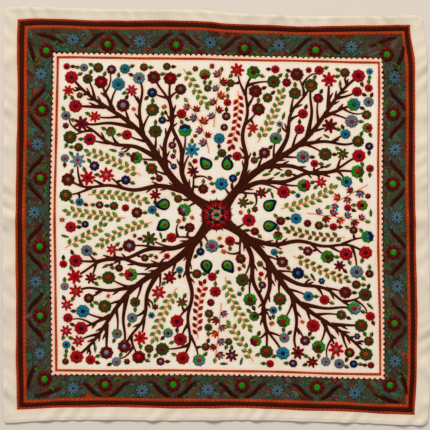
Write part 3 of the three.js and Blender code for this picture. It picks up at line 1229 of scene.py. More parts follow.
def patch_seeds():
    along = np.arange(PATCH_PITCH / 2, SIDE_LENGTH, PATCH_PITCH)
    rows = round((GROUND_TO - GROUND_FROM) / PATCH_PITCH)
    depth = np.linspace(GROUND_FROM + SEED_INSET, GROUND_TO - SEED_INSET, rows)
    grid = np.stack(np.meshgrid(along, depth, indexing="ij"), axis=-1).reshape(-1, 2)
    return grid + chance.uniform(-SEED_SHIFT, SEED_SHIFT, grid.shape) * PATCH_PITCH


def patch_stitches(seed, others, angle):
    """Rows of stitches that fill the places nearest to a seed."""
    rows = np.arange(-PATCH_ROWS, PATCH_ROWS + 1) * ROW * PATCH_ROW
    run = np.arange(-PATCH_RUN, PATCH_RUN + 1) * STITCH * PATCH_STITCH
    row, at = np.meshgrid(rows, run, indexing="ij")
    at = at + (np.arange(len(rows)) % 2)[:, None] * STITCH * PATCH_STITCH / 2
    forward, sideways = turned_to(angle), turned_to(angle + math.pi / 2)
    middle = seed + at[..., None] * forward + row[..., None] * sideways
    middle = middle.reshape(-1, 2)
    own = np.hypot(*(middle - seed).T)
    rest = np.hypot(middle[:, None, 0] - others[None, :, 0], middle[:, None, 1] - others[None, :, 1])
    inside = own + PATCH_GAP < rest.min(axis=1)
    inside &= (middle[:, 1] > STITCHES_FROM) & (middle[:, 1] < STITCHES_TO)
    inside &= (middle[:, 0] > 0) & (middle[:, 0] < SIDE_LENGTH)
    half = forward * STITCH / 2
    second = np.repeat(np.arange(len(rows)) % 2 == 1, len(run))
    return middle[inside] - half, middle[inside] + half, second[inside]


def ground_shares(side):
    """How much of the ground each thread has, on one side of the band."""
    brown = np.array([thread in BROWN_THREADS for thread in GROUND_THREADS])
    shares = np.array(GROUND_SHARES) * np.where(brown, BROWNER[side], 1.0)
    return shares / shares.sum()


def clear_of_flowers(starts, ends):
    """Which stitches miss every motif that is already worked."""
    clear = np.ones(len(starts), bool)
    discs = np.array(kept_clear)
    for points in (starts * 0.75 + ends * 0.25, starts * 0.25 + ends * 0.75):
        for block in range(0, len(points), 500):
            part = points[block:block + 500]
            away = np.hypot(part[:, None, 0] - discs[None, :, 0], part[:, None, 1] - discs[None, :, 1])
            clear[block:block + 500] &= (away > discs[None, :, 2]).all(axis=1)
    return clear


def ground_loop(seed):
    """A closed six-sided loop round a seed, in the flat frame of the side."""
    angle = chance.uniform(0, math.pi)
    reach = chance.uniform(*LOOP_REACH) * turned_to(angle)
    wide = chance.uniform(*LOOP_BREADTH) * turned_to(angle + math.pi / 2)
    loop = np.array([-reach, -0.5 * reach + wide, 0.5 * reach + wide, reach,
                     0.5 * reach - wide, -0.5 * reach - wide, -reach]) + seed
    loop[:, 1] = np.clip(loop[:, 1], GROUND_FROM + 1, GROUND_TO - 1)
    return loop


ground = Needlework()
ground.strip("ground_dark", band_line(PADDED_TO), band_line(PADDED_FROM), GROUND_PAD_LEVEL)
for side in SIDES:
    seeds = patch_seeds()
    made = {thread: [] for thread in GROUND_THREADS}
    for number, seed in enumerate(seeds):
        near = np.hypot(*(seeds - seed).T)
        others = seeds[(near < 4 * PATCH_PITCH) & (near > 0)]
        starts, ends, second = patch_stitches(seed, others, chance.uniform(0, math.pi))
        sewn = np.hstack([band_flat(side, starts), band_flat(side, ends)])
        pair = chance.choice(GROUND_THREADS, 2, p=ground_shares(side))
        made[pair[0]].append(sewn[~second])
        made[pair[1]].append(sewn[second])
        if chance.random() < FILLED_SHARE:
            loop = band_flat(side, ground_loop(seed))
            free = clear_of_flowers(loop[:-1], loop[1:])
            shade = chance.choice(LOOP_THREADS)
            ground.sew(shade, loop[:-1][free], loop[1:][free], LOOP_ROW, 1)
            if free.all():
                fill = chance.choice(FILL_THREADS)
                wide = np.hypot(*(loop[1] - loop[5])) * LOOP_FILL_WIDTH
                leaf(ground, loop[0], loop[3], wide, fill, fill, LOOP_FILL_LEVEL)
    for thread, parts in made.items():
        sewn = np.concatenate(parts)
        free = clear_of_flowers(sewn[:, :2], sewn[:, 2:])
        ground.sew(thread, sewn[free, :2], sewn[free, 2:], GROUND_WIDTH, GROUND_LEVEL)
print("stitches in the ground:", ground.count())

# %% [markdown]
# ## Teeth on the inner side of the band
# The dark ground ends in a row of small points, like pinking, worked as short stitches
# into the plain cotton.

# %% Work the teeth
TOOTH_PITCH = 11.3
TOOTH_LENGTH = 6.8
TOOTH_ROOT = 2.0
TOOTH_ROW = 2.9
TOOTH_LEVEL = 0.1
TOOTH_PAD_LEVEL = 0.15
TOOTH_THREADS = ("olive", "ground_dark", "bark_core")
# The three stitches of a tooth, as shares of its foot, and the line of teeth as a share of
# the outer line
TOOTH_SPREADS = (-0.3, 0.0, 0.3)
TEETH_LINE = 0.83

for side in SIDES:
    count = round(SIDE_LENGTH * TEETH_LINE / TOOTH_PITCH)
    for number in range(count + 1):
        along = number / count
        spread = 0.5 / count
        foot = band_place(side, np.array([along - spread, along + spread]),
                          np.full(2, GROUND_TO - TOOTH_ROOT))
        middle = foot.mean(axis=0)
        forward = (foot[1] - foot[0]) / np.hypot(*(foot[1] - foot[0]))
        tip = middle + np.array([forward[1], -forward[0]]) * TOOTH_LENGTH
        shade = chance.choice(TOOTH_THREADS)
        ground.pad(shade, np.array([foot[0], tip, foot[1]]), TOOTH_PAD_LEVEL)
        for part in TOOTH_SPREADS:
            start = middle + (foot[1] - foot[0]) * part
            ground.sew(shade, start, start * 0.2 + tip * 0.8, TOOTH_ROW, TOOTH_LEVEL)
print("stitches with the teeth:", ground.count())

# %% [markdown]
# ## Boughs of the field
# The cream field holds four flowering boughs that grow from a medallion in the middle
# towards the corners. One quarter is planned and turned three times, which is how such a
# cloth is marked out. Side boughs leave the main one in pairs, and twigs with a flower at
# the end fill in between. A map of the free room stops anything from crossing.

# %% Keep a map of the free room in one quarter
FIELD_HALF = 338
# The work keeps away from the line round the field, here more and there less
EDGE_GAP = 5.5
EDGE_SWAY = 3.5
EDGE_WAVE = 13
ROOM_CELL = 2.0
ROOM_REACH = 30
NO_ROOM = -99.0
FIELD_SEED = 41
QUARTER_TURNS = ((1, 0), (0, 1), (-1, 0), (0, -1))


def quarter_turned(places, number):
    c, s = QUARTER_TURNS[number]
    places = np.asarray(places, float)
    x, y = places[..., 0], places[..., 1]
    return np.stack([c * x - s * y, s * x + c * y], axis=-1)


room_axis = np.arange(0, FIELD_HALF, ROOM_CELL)
room_x, room_y = np.meshgrid(room_axis, room_axis, indexing="ij")
edge_gap = EDGE_GAP + EDGE_SWAY * (1 + np.sin((room_x - room_y) / EDGE_WAVE))
room = np.minimum(FIELD_HALF - np.maximum(room_x, room_y) - edge_gap, ROOM_REACH)


def fill_room(places, radii):
    """Marks discs as taken. A disc also takes room where a turned copy of it lies."""
    places = np.atleast_2d(places)
    radii = np.broadcast_to(np.asarray(radii, float), len(places))
    for number in range(4):
        for (x, y), radius in zip(quarter_turned(places, number), radii):
            reach = radius + ROOM_REACH
            if x < -reach or y < -reach or x > FIELD_HALF + reach or y > FIELD_HALF + reach:
                continue
            left, right = np.searchsorted(room_axis, (x - reach, x + reach))
            low, high = np.searchsorted(room_axis, (y - reach, y + reach))
            window = (slice(left, right), slice(low, high))
            away = np.hypot(room_x[window] - x, room_y[window] - y) - radius
            np.minimum(room[window], away, out=room[window])


def room_at(places):
    """The free room round places, which are first turned into the planned quarter."""
    places = np.atleast_2d(np.asarray(places, float))
    x, y = places[:, 0].copy(), places[:, 1].copy()
    for _ in range(3):
        turn = (x < 0) | (y < 0)
        x, y = np.where(turn, y, x), np.where(turn, -x, y)
    i = np.round(x / ROOM_CELL).astype(int)
    j = np.round(y / ROOM_CELL).astype(int)
    outside = (i >= len(room_axis)) | (j >= len(room_axis)) | (i < 0) | (j < 0)
    found = room[np.clip(i, 0, len(room_axis) - 1), np.clip(j, 0, len(room_axis) - 1)]
    return np.where(outside, NO_ROOM, found)


print("room cells in the quarter:", room.size)

# %% [markdown]
# ## Grow the boughs
# A bough is a line whose heading sways and turns, with a hook near its end. It is thick
# where it leaves and tapers to the width of one row of stitches.

# %% Grow the boughs of one quarter
MEDALLION_RADIUS = 36
MAIN_LENGTH = 392
MAIN_WAVE = (11, 300)
# The main bough starts inside the medallion, at this share of its radius
MAIN_START = 0.6
# Half widths of a bough, by which it tapers: at its root, at its tip, and more at the fork.
# A side bough's root is in its row of the table.
MAIN_TAPER = (10.4, 3.0, 5)
SIDE_TAPER = (2.6, 4)
TAPER_POWER = 0.8
FLARE_LENGTH = 9
SWAY = 0.26
SWAY_LENGTH = 105
# Side boughs: start along the main one, side, length, leaves at, bend, hook (degrees), root
SIDE_BOUGHS = [
    (40, -1, 262, 40, -4, 18, 6.6),
    (62, 1, 236, 42, 4, -18, 6.4),
    (128, -1, 182, 44, 3, 20, 5.9),
    (150, 1, 168, 44, -3, -20, 5.9),
    (212, -1, 112, 46, 2, 20, 5.0),
    (236, 1, 96, 46, -2, -20, 5.0),
    (292, -1, 54, 48, 0, 12, 4.5),
    (312, 1, 48, 48, 0, -12, 4.5),
]
FLOWER_RADIUS = 15.5
# A flower covers the tip of its twig, and is made smaller while it touches another
FLOWER_TUCK = 3
SMALLEST_FLOWER = 7
FLOWER_STEP = 1.5
# A leaf peeps out from under a flower where the room at both of these reaches is enough
PEEP_TRIES = (4, 8)
PEEP_ANGLES = 16
PEEP_REACH = 11
PEEP_ROOM = 3.9
PEEP_EASE = 1.5

chance = np.random.default_rng(FIELD_SEED)
fill_room((0, 0), MEDALLION_RADIUS + 5)


def grown(start, heading, length, bend, hook=0.0, sway=0.0):
    """A line that turns by bend along its length, by hook at its end, and sways."""
    steps = max(3, math.ceil(length / STITCH))
    share = (np.arange(steps) + 0.5) / steps
    angle = heading + bend * share + hook * share ** 3
    angle = angle + sway * np.sin(math.tau * share * length / SWAY_LENGTH)
    moves = np.stack([np.cos(angle), np.sin(angle)], axis=1) * length / steps
    return np.vstack([start, start + np.cumsum(moves, axis=0)])


def tapered(count, length, root, tip, flare):
    run = np.linspace(0, length, count)
    return root + (tip - root) * (run / length) ** TAPER_POWER + flare * np.exp(-run / FLARE_LENGTH)


def heading_of(line, index):
    step = line[min(index + 1, len(line) - 1)] - line[max(index - 1, 0)]
    return math.atan2(step[1], step[0])


boughs = []
flower_places = []
peeping_leaves = []


def add_bough(line, half):
    boughs.append((line, half))
    fill_room(line, half)


def clear_of_others(centre, radius):
    """True where a flower touches no other flower in any quarter."""
    for other, other_radius, _ in flower_places:
        away = np.hypot(*(np.array([quarter_turned(other, n) for n in range(4)]) - centre).T)
        if away.min() < radius + other_radius + 1:
            return False
    return True


def leaf_beside(centre, radius):
    """Keeps a leaf that peeps out from under a flower, on the side with the most room."""
    angles = np.arange(PEEP_ANGLES) * math.tau / PEEP_ANGLES
    near, far = (room_at(polar(centre, angles, radius + reach)) for reach in PEEP_TRIES)
    free = np.minimum(near, far + PEEP_EASE)
    best = int(np.argmax(free))
    if free[best] > PEEP_ROOM:
        peeping_leaves.append((centre, radius, float(angles[best])))
        fill_room(polar(centre, angles[best], radius + PEEP_TRIES[0]), PEEP_ROOM)


def flower_at_tip(line, radius):
    angle = heading_of(line, len(line) - 1)
    centre = line[-1] + turned_to(angle) * (radius - FLOWER_TUCK)
    while radius > SMALLEST_FLOWER and not clear_of_others(centre, radius):
        radius -= FLOWER_STEP
        centre = line[-1] + turned_to(angle) * (radius - FLOWER_TUCK)
    flower_places.append((centre, radius, angle))
    leaf_beside(centre, radius)
    fill_room(centre, radius)


run = np.linspace(0, MAIN_LENGTH, 80)
start = MEDALLION_RADIUS * MAIN_START / math.sqrt(2)
diagonal = start + run[:, None] * np.full(2, math.sqrt(0.5))
main_bough = beside(diagonal, MAIN_WAVE[0] * np.sin(math.tau * run / MAIN_WAVE[1]))
add_bough(main_bough, tapered(len(run), MAIN_LENGTH, *MAIN_TAPER))

for along, side, length, leaves, bend, hook, root in SIDE_BOUGHS:
    index = int(np.searchsorted(run, along))
    heading = heading_of(main_bough, index) + side * math.radians(leaves)
    line = grown(main_bough[index], heading, length, math.radians(bend), math.radians(hook), -side * SWAY)
    add_bough(line, tapered(len(line), length, root, *SIDE_TAPER))
for line, half in list(boughs):
    flower_at_tip(line, FLOWER_RADIUS)
print("boughs:", len(boughs), " free room left, largest:", round(float(room.max()), 1))

# %% [markdown]
# ## Sprigs and paisleys
# The widest strips between the boughs take the light work first: thin orange stems with
# leaves or buds on both sides by turns, and a few paisleys near the middle.

# %% Find places for sprigs and paisleys
SPRIG_HALF_WIDTH = 11.5
SPRIG_ROOM = 0.9 * SPRIG_HALF_WIDTH
SPRIG_BEND = 0.9
SPRIG_LONGEST = 120
PAISLEYS = ((106, 21, 0.3), (21, 106, 1.3))
PAISLEY_RADIUS = 16.5

sprigs = []
for x, y, angle in PAISLEYS:
    fill_room((x, y), PAISLEY_RADIUS + 1)


def free_length(start, heading, bend):
    """How long a sprig can be before it meets other work."""
    line = grown(start, heading, SPRIG_LONGEST, bend)
    tight = np.nonzero(room_at(line) < SPRIG_ROOM)[0]
    steps = tight[0] if len(tight) else len(line)
    return steps * SPRIG_LONGEST / len(line)


def find_sprigs(tries, shortest, most):
    """Tries places by chance and keeps the longest sprigs that still fit."""
    found = []
    for _ in range(tries):
        start = chance.uniform(0, FIELD_HALF, 2)
        heading = chance.uniform(0, math.tau)
        bend = chance.uniform(-SPRIG_BEND, SPRIG_BEND)
        if room_at(start)[0] > SPRIG_ROOM:
            found.append((free_length(start, heading, bend), start, heading, bend))
    found.sort(key=lambda one: -one[0])
    kept = 0
    for _, start, heading, bend in found:
        length = free_length(start, heading, bend)
        if length >= shortest and kept < most:
            line = grown(start, heading, length, bend)
            sprigs.append((line, length))
            fill_room(evenly(line, 4), SPRIG_HALF_WIDTH)
            kept += 1


find_sprigs(tries=1400, shortest=66, most=5)
print("sprigs:", len(sprigs), [round(length) for _, length in sprigs])

# %% [markdown]
# ## Twigs with flowers
# Twigs leave the boughs on both sides, each with a flower at its end, and short bare spurs
# stand between them. Then the widest hole is filled again and again, with a flower on a
# thin twig of its own where one can reach it, then with buds and leaves, until only the
# spacing of the ground is left.

# %% Fill the quarter
TWIG_LENGTHS = (24, 30, 37, 45)
TWIG_TURNS = (0, 10, -10, 20, -20, 30)
TWIG_RADII = (15.5, 14.5, 13.5, 12)
TWIG_BENDS = (24, -24)
TWIG_LEAN = 50
TWIG_TAPER = (3.1, 1.9, 2.3)
TWIG_ROOM = 2.2
TWIG_FLOWER_GAP = 1.2
TWIG_FROM = 24
TWIG_SPACING = 21
# The bare stretch at the end of a bough
BARE_END = 12
SPUR_SPACING = 17
SPUR_LENGTH = 12
SPUR_LEAN = 52
SPUR_BEND = 0.6
SPUR_TAPER = (2.8, 0.8, 2.5)
SPUR_ROOM = 3.2
# The thin twig to a flower in a hole: its reach, how far it bows, and the places of its pulls
THIN_TWIG_REACH = 62
THIN_TWIG_SHORTEST = 7
THIN_TWIG_BOW = 0.14
THIN_TWIG_PULLS = (0.3, 0.65)
THIN_TWIG_TAPER = (2.4, 1.6, 1.5)
# What goes into a hole: the gap round it, and the radii from which it is each kind of work
LEAST_ROOM = 8.0
HOLE_GAP = 1.6
HOLE_RADII = (14, 13, 12)
ON_A_TWIG_FROM = 7.5
FLOWER_FROM = 8.2
LEAF_UP_TO = 6.5
LEAN_ANGLES = 12
LEAN_REACH = 1.5
LEAF_END_ROOM = 2.5


def try_twig(start, heading):
    """A twig with a flower, if there is room for one."""
    for radius in TWIG_RADII:
        for turn in TWIG_TURNS:
            for length in TWIG_LENGTHS:
                for bend in TWIG_BENDS:
                    line = grown(start, heading + math.radians(turn), length, math.radians(bend))
                    outwards = turned_to(heading_of(line, len(line) - 1))
                    centre = line[-1] + outwards * (radius - FLOWER_TUCK)
                    if room_at(centre)[0] < radius + TWIG_FLOWER_GAP:
                        continue
                    if room_at(line[len(line) // 2:-1]).min() < TWIG_ROOM:
                        continue
                    add_bough(line, tapered(len(line), length, *TWIG_TAPER))
                    flower_at_tip(line, radius)
                    return True
    return False


def stations(line, first, spacing):
    """Places along a bough, to its left and its right by turns."""
    long = lengths_along(line)
    for number, at in enumerate(np.arange(first, long[-1] - BARE_END, spacing)):
        yield int(np.searchsorted(long, at)), 1 - 2 * (number % 2)


for line, half in list(boughs):
    for index, side in stations(line, TWIG_FROM, TWIG_SPACING):
        try_twig(line[index], heading_of(line, index) + side * math.radians(TWIG_LEAN))
find_sprigs(tries=900, shortest=36, most=3)

for line, half in boughs[:1 + len(SIDE_BOUGHS)]:
    for index, side in stations(line, SPUR_SPACING, SPUR_SPACING):
        heading = heading_of(line, index) - side * math.radians(SPUR_LEAN)
        length = half[index] + SPUR_LENGTH
        spur = grown(line[index], heading, length, side * SPUR_BEND)
        if room_at(spur[-1])[0] > SPUR_ROOM:
            add_bough(spur, tapered(len(spur), length, *SPUR_TAPER))

wood = np.concatenate([quarter_turned(line, number) for line, _ in boughs for number in range(4)])


def twig_to(place, radius):
    """A thin bowed twig to a flower from the nearest bough with a free way."""
    away = np.hypot(*(wood - place).T)
    for index in np.argsort(away)[:60:3]:
        if away[index] > THIN_TWIG_REACH:
            break
        if away[index] < radius + THIN_TWIG_SHORTEST:
            continue
        toward = place - wood[index]
        sideways = np.array([-toward[1], toward[0]]) * THIN_TWIG_BOW
        end = place - toward / away[index] * (radius - 1)
        for bow in (sideways, -sideways):
            pulls = [wood[index] + toward * share + bow for share in THIN_TWIG_PULLS]
            line = curved((wood[index], *pulls, end), 9)
            if room_at(line[3:-1]).min() > HOLE_GAP:
                return line
    return None


def free_lean(place, reach):
    """The direction through a place with the most room at both ends."""
    angles = np.arange(LEAN_ANGLES) * math.pi / LEAN_ANGLES
    freest = np.minimum(*(room_at(polar(place, angles + turn, reach)) for turn in (0, math.pi)))
    return float(angles[int(np.argmax(freest))])


singles = []
while room.max() > LEAST_ROOM:
    i, j = np.unravel_index(room.argmax(), room.shape)
    radius = min(room[i, j] - HOLE_GAP, chance.choice(HOLE_RADII))
    place = np.array([room_x[i, j], room_y[i, j]])
    lean = free_lean(place, radius * LEAN_REACH)
    twig = twig_to(place, radius) if radius > ON_A_TWIG_FROM else None
    if twig is not None:
        add_bough(twig, tapered(len(twig), lengths_along(twig)[-1], *THIN_TWIG_TAPER))
    singles.append((place, radius, lean))
    if radius > FLOWER_FROM:
        leaf_beside(place, radius)
    fill_room(place, radius + HOLE_GAP)
    if radius < LEAF_UP_TO:
        fill_room(polar(place, [lean, lean + math.pi], radius), LEAF_END_ROOM)
print("boughs and twigs:", len(boughs), " flowers:", len(flower_places), " sprigs:", len(sprigs),
      " singles:", len(singles))

# %% [markdown]
# ## Work the quarters
# The colours follow the cloth: crimson, dark maroon and dark green rosettes most often,
# then blue ones, with plum and grey-blue among them, and a heart of another colour in
# each. Each quarter is worked on its own, so that its colours differ from the others.

# %% Work four quarters and turn them into place
# Petals, the share of flowers that have them, and hearts that go with them
FLOWER_COLOURS = [
    ("crimson", 0.24, ("bark", "plum", "maroon", "navy")),
    ("maroon", 0.26, ("slate", "fern", "crimson", "olive")),
    ("olive", 0.23, ("crimson", "maroon", "crimson", "rust")),
    ("teal", 0.10, ("navy", "olive", "navy")),
    ("slate", 0.07, ("maroon", "crimson")),
    ("plum", 0.05, ("slate", "crimson")),
    ("navy", 0.05, ("teal", "dusk")),
]
PETAL_COUNTS = (8, 8, 9, 10)
# The share of flowers that are rosettes, and that are rosettes or stars
ROSETTES_TO = 0.6
STARS_TO = 0.83
ROSETTE_ONLY_BELOW = 11
HEART_SHARES = (0.27, 0.38)
SIDE_ON_HEART = 0.34
STAR_SIZE = 1.08
STAR_POINTS = 7
SPRIG_LEAF = 16.5
SPRIG_LEAF_WIDTH = 8.8
SPRIG_PITCH = 15
SPRIG_LEAN = 0.72
# A leafy sprig has a leaf at each half pitch, and one with buds has them wider apart
LEAF_SPACING = 0.5
BUD_SPACING = 0.95
BUD_LENGTH = 0.86
BUD_FOOT = 0.3
LEAF_FOOT = 0.18
LAST_LEAF = 0.8
LENGTH_VARIES = (0.85, 1.08)
LEAN_VARIES = (0.85, 1.15)
STEM_WIDTH = 2.9
STEM_STITCH = 4.5
PEEPING_WIDTH = 8.4
PEEPING_FROM = 0.85
PEEPING_THREADS = (("fern", "olive"), ("olive", "bark"), ("lime", "olive"), ("emerald", "olive"))
SMALL_LEAVES = (("olive", "bark"), ("fern", "olive"), ("lime", "bark"), ("olive", "bark"),
                ("fern", "olive"), ("rust", "maroon"))
BUDDING_SHARE = 0.3
BUD_THREADS = (("crimson", "flame", "olive"), ("teal", "crimson", "maroon"),
               ("maroon", "crimson", "olive"), ("crimson", "teal", "bark_olive"))
SPRIG_THREADS = (("lime", "fern"), ("lime", "fern"), ("fern", "olive"), ("lime", "olive"),
                 ("lime", "fern"), ("fern", "lime"), ("lime", "fern"), ("crimson", "maroon"))
# Small work in the holes, from this radius: little rosettes, then buds in two sets of
# threads, then leaves, each up to a share of them. Below it all are small leaves. Their
# sizes are shares of the hole's radius: a rosette's radius and its heart's share of that, how
# far back a bud starts and its length, and a leaf's half length and width.
SMALL_WORK_FROM = 6.0
LITTLE_ROSETTES_TO = 0.36
RED_BUDS_TO = 0.56
BUDS_TO = 0.74
LITTLE_ROSETTE = (0.98, 0.4)
SMALL_BUD = (0.3, 1.2)
GREEN_LEAF = (1.2, 0.85)
SMALL_LEAF = (1.8, 1.7)
# A paisley: threads, sizes and levels of its drops, how fat it is all round and at its head,
# and the pull of its tail
PAISLEY_DROPS = (("navy", 1.0, 0), ("emerald", 0.66, 1), ("crimson", 0.26, 2))
PAISLEY_FAT = (0.54, 0.46)
PAISLEY_TAIL = 0.5
PAISLEY_POINTS = 18
PAISLEY_ROWS = (0.86, 0.66)
PAISLEY_SMALL_ROWS = (0.7,)
PAISLEY_ROW_WIDTH = 2.5


def flower_colours():
    shares = np.array([share for _, share, _ in FLOWER_COLOURS])
    petal, _, hearts = FLOWER_COLOURS[chance.choice(len(FLOWER_COLOURS), p=shares / shares.sum())]
    return petal, chance.choice(hearts)


def half_and_half(work, centre, radius, angle):
    """A flower seen from the side: bright petals in a green cup."""
    petal, middle = flower_colours()
    rosette(work, centre, radius, petal, middle, 8, angle, SIDE_ON_HEART, cup="emerald")


def sew_flower(work, centre, radius, angle):
    kind = chance.random()
    petal, middle = flower_colours()
    if kind < ROSETTES_TO or radius < ROSETTE_ONLY_BELOW:
        petals = int(chance.choice(PETAL_COUNTS))
        rosette(work, centre, radius, petal, middle, petals, angle, chance.uniform(*HEART_SHARES))
    elif kind < STARS_TO:
        red = chance.choice(("crimson", "maroon", "crimson", petal))
        middle = "slate" if red == middle else middle
        star(work, centre, radius * STAR_SIZE, red, middle, STAR_POINTS, angle)
    else:
        half_and_half(work, centre, radius, angle)


def sew_sprig(work, line, length):
    """A thin stem with leaves on both sides and one at its end."""
    work.row("stem", line, STEM_WIDTH, STEM_STITCH)
    light, dark = SPRIG_THREADS[chance.integers(len(SPRIG_THREADS))]
    budding = chance.random() < BUDDING_SHARE
    points = evenly(line, SPRIG_PITCH * (BUD_SPACING if budding else LEAF_SPACING))
    for index in range(1, len(points) - 1):
        side = 1 if index % 2 else -1
        angle = heading_of(points, index)
        reach = SPRIG_LEAF * chance.uniform(*LENGTH_VARIES)
        lean = side * SPRIG_LEAN * chance.uniform(*LEAN_VARIES)
        tip = points[index] + turned_to(angle + lean) * reach
        foot = points[index] + (tip - points[index]) * LEAF_FOOT
        work.sew("stem", points[index], foot, STEM_WIDTH)
        halves = (light, dark) if side > 0 else (dark, light)
        if budding:
            lean = heading_of(np.array([foot, tip]), 0)
            threads = BUD_THREADS[index % len(BUD_THREADS)]
            bud(work, foot + (tip - foot) * BUD_FOOT, lean, reach * BUD_LENGTH, *threads)
        else:
            leaf(work, foot, tip, SPRIG_LEAF_WIDTH, *halves)
    onwards = turned_to(heading_of(points, len(points) - 1)) * SPRIG_LEAF * LAST_LEAF
    leaf(work, points[-1], points[-1] + onwards, SPRIG_LEAF_WIDTH, light, dark)


def sew_single(work, place, radius, lean):
    kind = chance.random()
    angle = chance.uniform(0, math.tau)
    if radius > FLOWER_FROM:
        sew_flower(work, place, radius, angle)
    elif radius > SMALL_WORK_FROM:
        if kind < LITTLE_ROSETTES_TO:
            petal, middle = flower_colours()
            size, heart_share = LITTLE_ROSETTE
            rosette(work, place, radius * size, petal, middle, 6, angle, heart_share)
        elif kind < BUDS_TO:
            red_bud, maroon_bud = ("crimson", "flame", "fern"), ("maroon", "crimson", "olive")
            threads = red_bud if kind < RED_BUDS_TO else maroon_bud
            back, long = SMALL_BUD
            bud(work, place - turned_to(lean) * radius * back, lean, radius * long, *threads)
        else:
            long, wide = GREEN_LEAF
            reach = turned_to(lean) * radius * long
            leaf(work, place - reach, place + reach, radius * wide, "emerald", "olive")
    else:
        long, wide = SMALL_LEAF
        reach = turned_to(lean) * radius * long
        light, dark = SMALL_LEAVES[int(kind * len(SMALL_LEAVES))]
        leaf(work, place - reach, place + reach, radius * wide, light, dark)


def sew_paisley(work, place, angle):
    """A curled drop in three colours, one inside another."""
    turn = np.linspace(0, math.tau, PAISLEY_POINTS + 1)[:-1]
    fat = PAISLEY_FAT[0] + PAISLEY_FAT[1] * np.cos(turn / 2) ** 2
    tail = np.exp(-((turn - PAISLEY_TAIL) / PAISLEY_TAIL) ** 2)
    c, s = turned_to(angle)
    for thread, size, level in PAISLEY_DROPS:
        reach = PAISLEY_RADIUS * size
        outline = polar((0, 0), turn, reach * fat)
        outline[:, 0] += reach * PAISLEY_TAIL * tail
        outline = np.stack([c * outline[:, 0] - s * outline[:, 1],
                            s * outline[:, 0] + c * outline[:, 1]], axis=1) + place
        work.pad(thread, outline, level)
        loop = np.vstack([outline, outline[:1]])
        for share in PAISLEY_SMALL_ROWS if level == 2 else PAISLEY_ROWS:
            work.row(thread, place + (loop - place) * share, PAISLEY_ROW_WIDTH, STITCH, level)


def into_field(number):
    """Turns the quarter and fits it into the four sides of the field."""
    def place(points):
        turned = quarter_turned(points, number)
        across = (turned[..., 0] + FIELD_HALF) / (2 * FIELD_HALF)
        down = (FIELD_HALF - turned[..., 1]) / (2 * FIELD_HALF)
        return bowed(across, down, INNER_CORNERS, INNER_BOWS)
    return place


wooden = Needlework()
for line, half in boughs:
    limb(wooden, line, half, "bark", BOUGH_BROWNS, CORE_BROWNS)
field = Needlework()
for number in range(4):
    quarter = Needlework()
    for centre, radius, angle in peeping_leaves:
        threads = PEEPING_THREADS[chance.integers(len(PEEPING_THREADS))]
        root, tip = (polar(centre, angle, reach) for reach in (radius * PEEPING_FROM, radius + PEEP_REACH))
        leaf(quarter, root, tip, PEEPING_WIDTH, *threads)
    for centre, radius, angle in flower_places:
        sew_flower(quarter, centre, radius, angle)
    for line, length in sprigs:
        sew_sprig(quarter, line, length)
    for place, radius, lean in singles:
        sew_single(quarter, place, radius, lean)
    for x, y, angle in PAISLEYS:
        sew_paisley(quarter, np.array([x, y], float), angle)
    field.add(wooden.placed(into_field(number)))
    field.add(quarter.placed(into_field(number)))
print("stitches in the field:", field.count())

# %% [markdown]
# ## The medallion
# The boughs spring from a round flower in the middle, in rings of maroon, crimson, blue
# and green.

# %% Work the medallion
# Petals, heart, radius and number of petals, from the outer ring to the inner one
MEDALLION_TURN = 0.2
MEDALLION_HEART = 0.62
MEDALLION_RINGS = (
    ("maroon", "bark", MEDALLION_RADIUS, 16), ("crimson", "flame", 28, 12), ("teal", "slate", 20, 10),
    ("olive", "emerald", 12.5, 8),
)
field_middle = bowed(np.array([0.5]), np.array([0.5]), INNER_CORNERS, INNER_BOWS)[0]
for number, (petal, middle, radius, petals) in enumerate(MEDALLION_RINGS):
    rosette(field, field_middle, radius, petal, middle, petals, MEDALLION_TURN * number,
            MEDALLION_HEART, level=number)
print("stitches in the field:", field.count())

# %% [markdown]
# ## The hem's stitching
# The hem is turned under and caught down with a small running stitch in undyed thread,
# close to its inner side.

# %% Sew the hem
HEM_ROW_INSET = 6.5
HEM_STITCH = 4.2
HEM_ROW_WIDTH = 0.9
HEM_ROW_LEVEL = 0.4

hem = Needlework()
inset_x, inset_y = HEM_ROW_INSET / CUT_WIDTH, HEM_ROW_INSET / CUT_HEIGHT
hem_corners = ((inset_x, inset_y), (1 - inset_x, inset_y), (1 - inset_x, 1 - inset_y),
               (inset_x, 1 - inset_y), (inset_x, inset_y))
for (x, y), (next_x, next_y) in zip(hem_corners, hem_corners[1:]):
    side_line = laid_out(np.linspace(x, next_x, 200), np.linspace(y, next_y, 200))
    points = evenly(side_line, HEM_STITCH)
    hem.sew("cream", points[:-1][::2], points[1:][::2], HEM_ROW_WIDTH, HEM_ROW_LEVEL)
print("stitches in the hem:", hem.count())

# %% [markdown]
# ## From the plan to real thread
# Each thread becomes one piece: all its padding and all its stitches, lying on the cloth.
# Modelling fifty thousand stitches by hand is out of the question. The plan is a cloud of
# points, one for each stitch, that carry its direction and width, and a Geometry Nodes
# tree sets a small grain of thread on each one. The grain is a low closed form with a flat
# foot, pointed where the needle goes in.

# %% Build the grain and the tree
GRAIN_ENDS = 0.5
GRAIN_SHOULDER = 0.27
RIDGE_SHARE = 0.8
FOOT_SINK = 0.3
LEVEL_STEP = 0.55


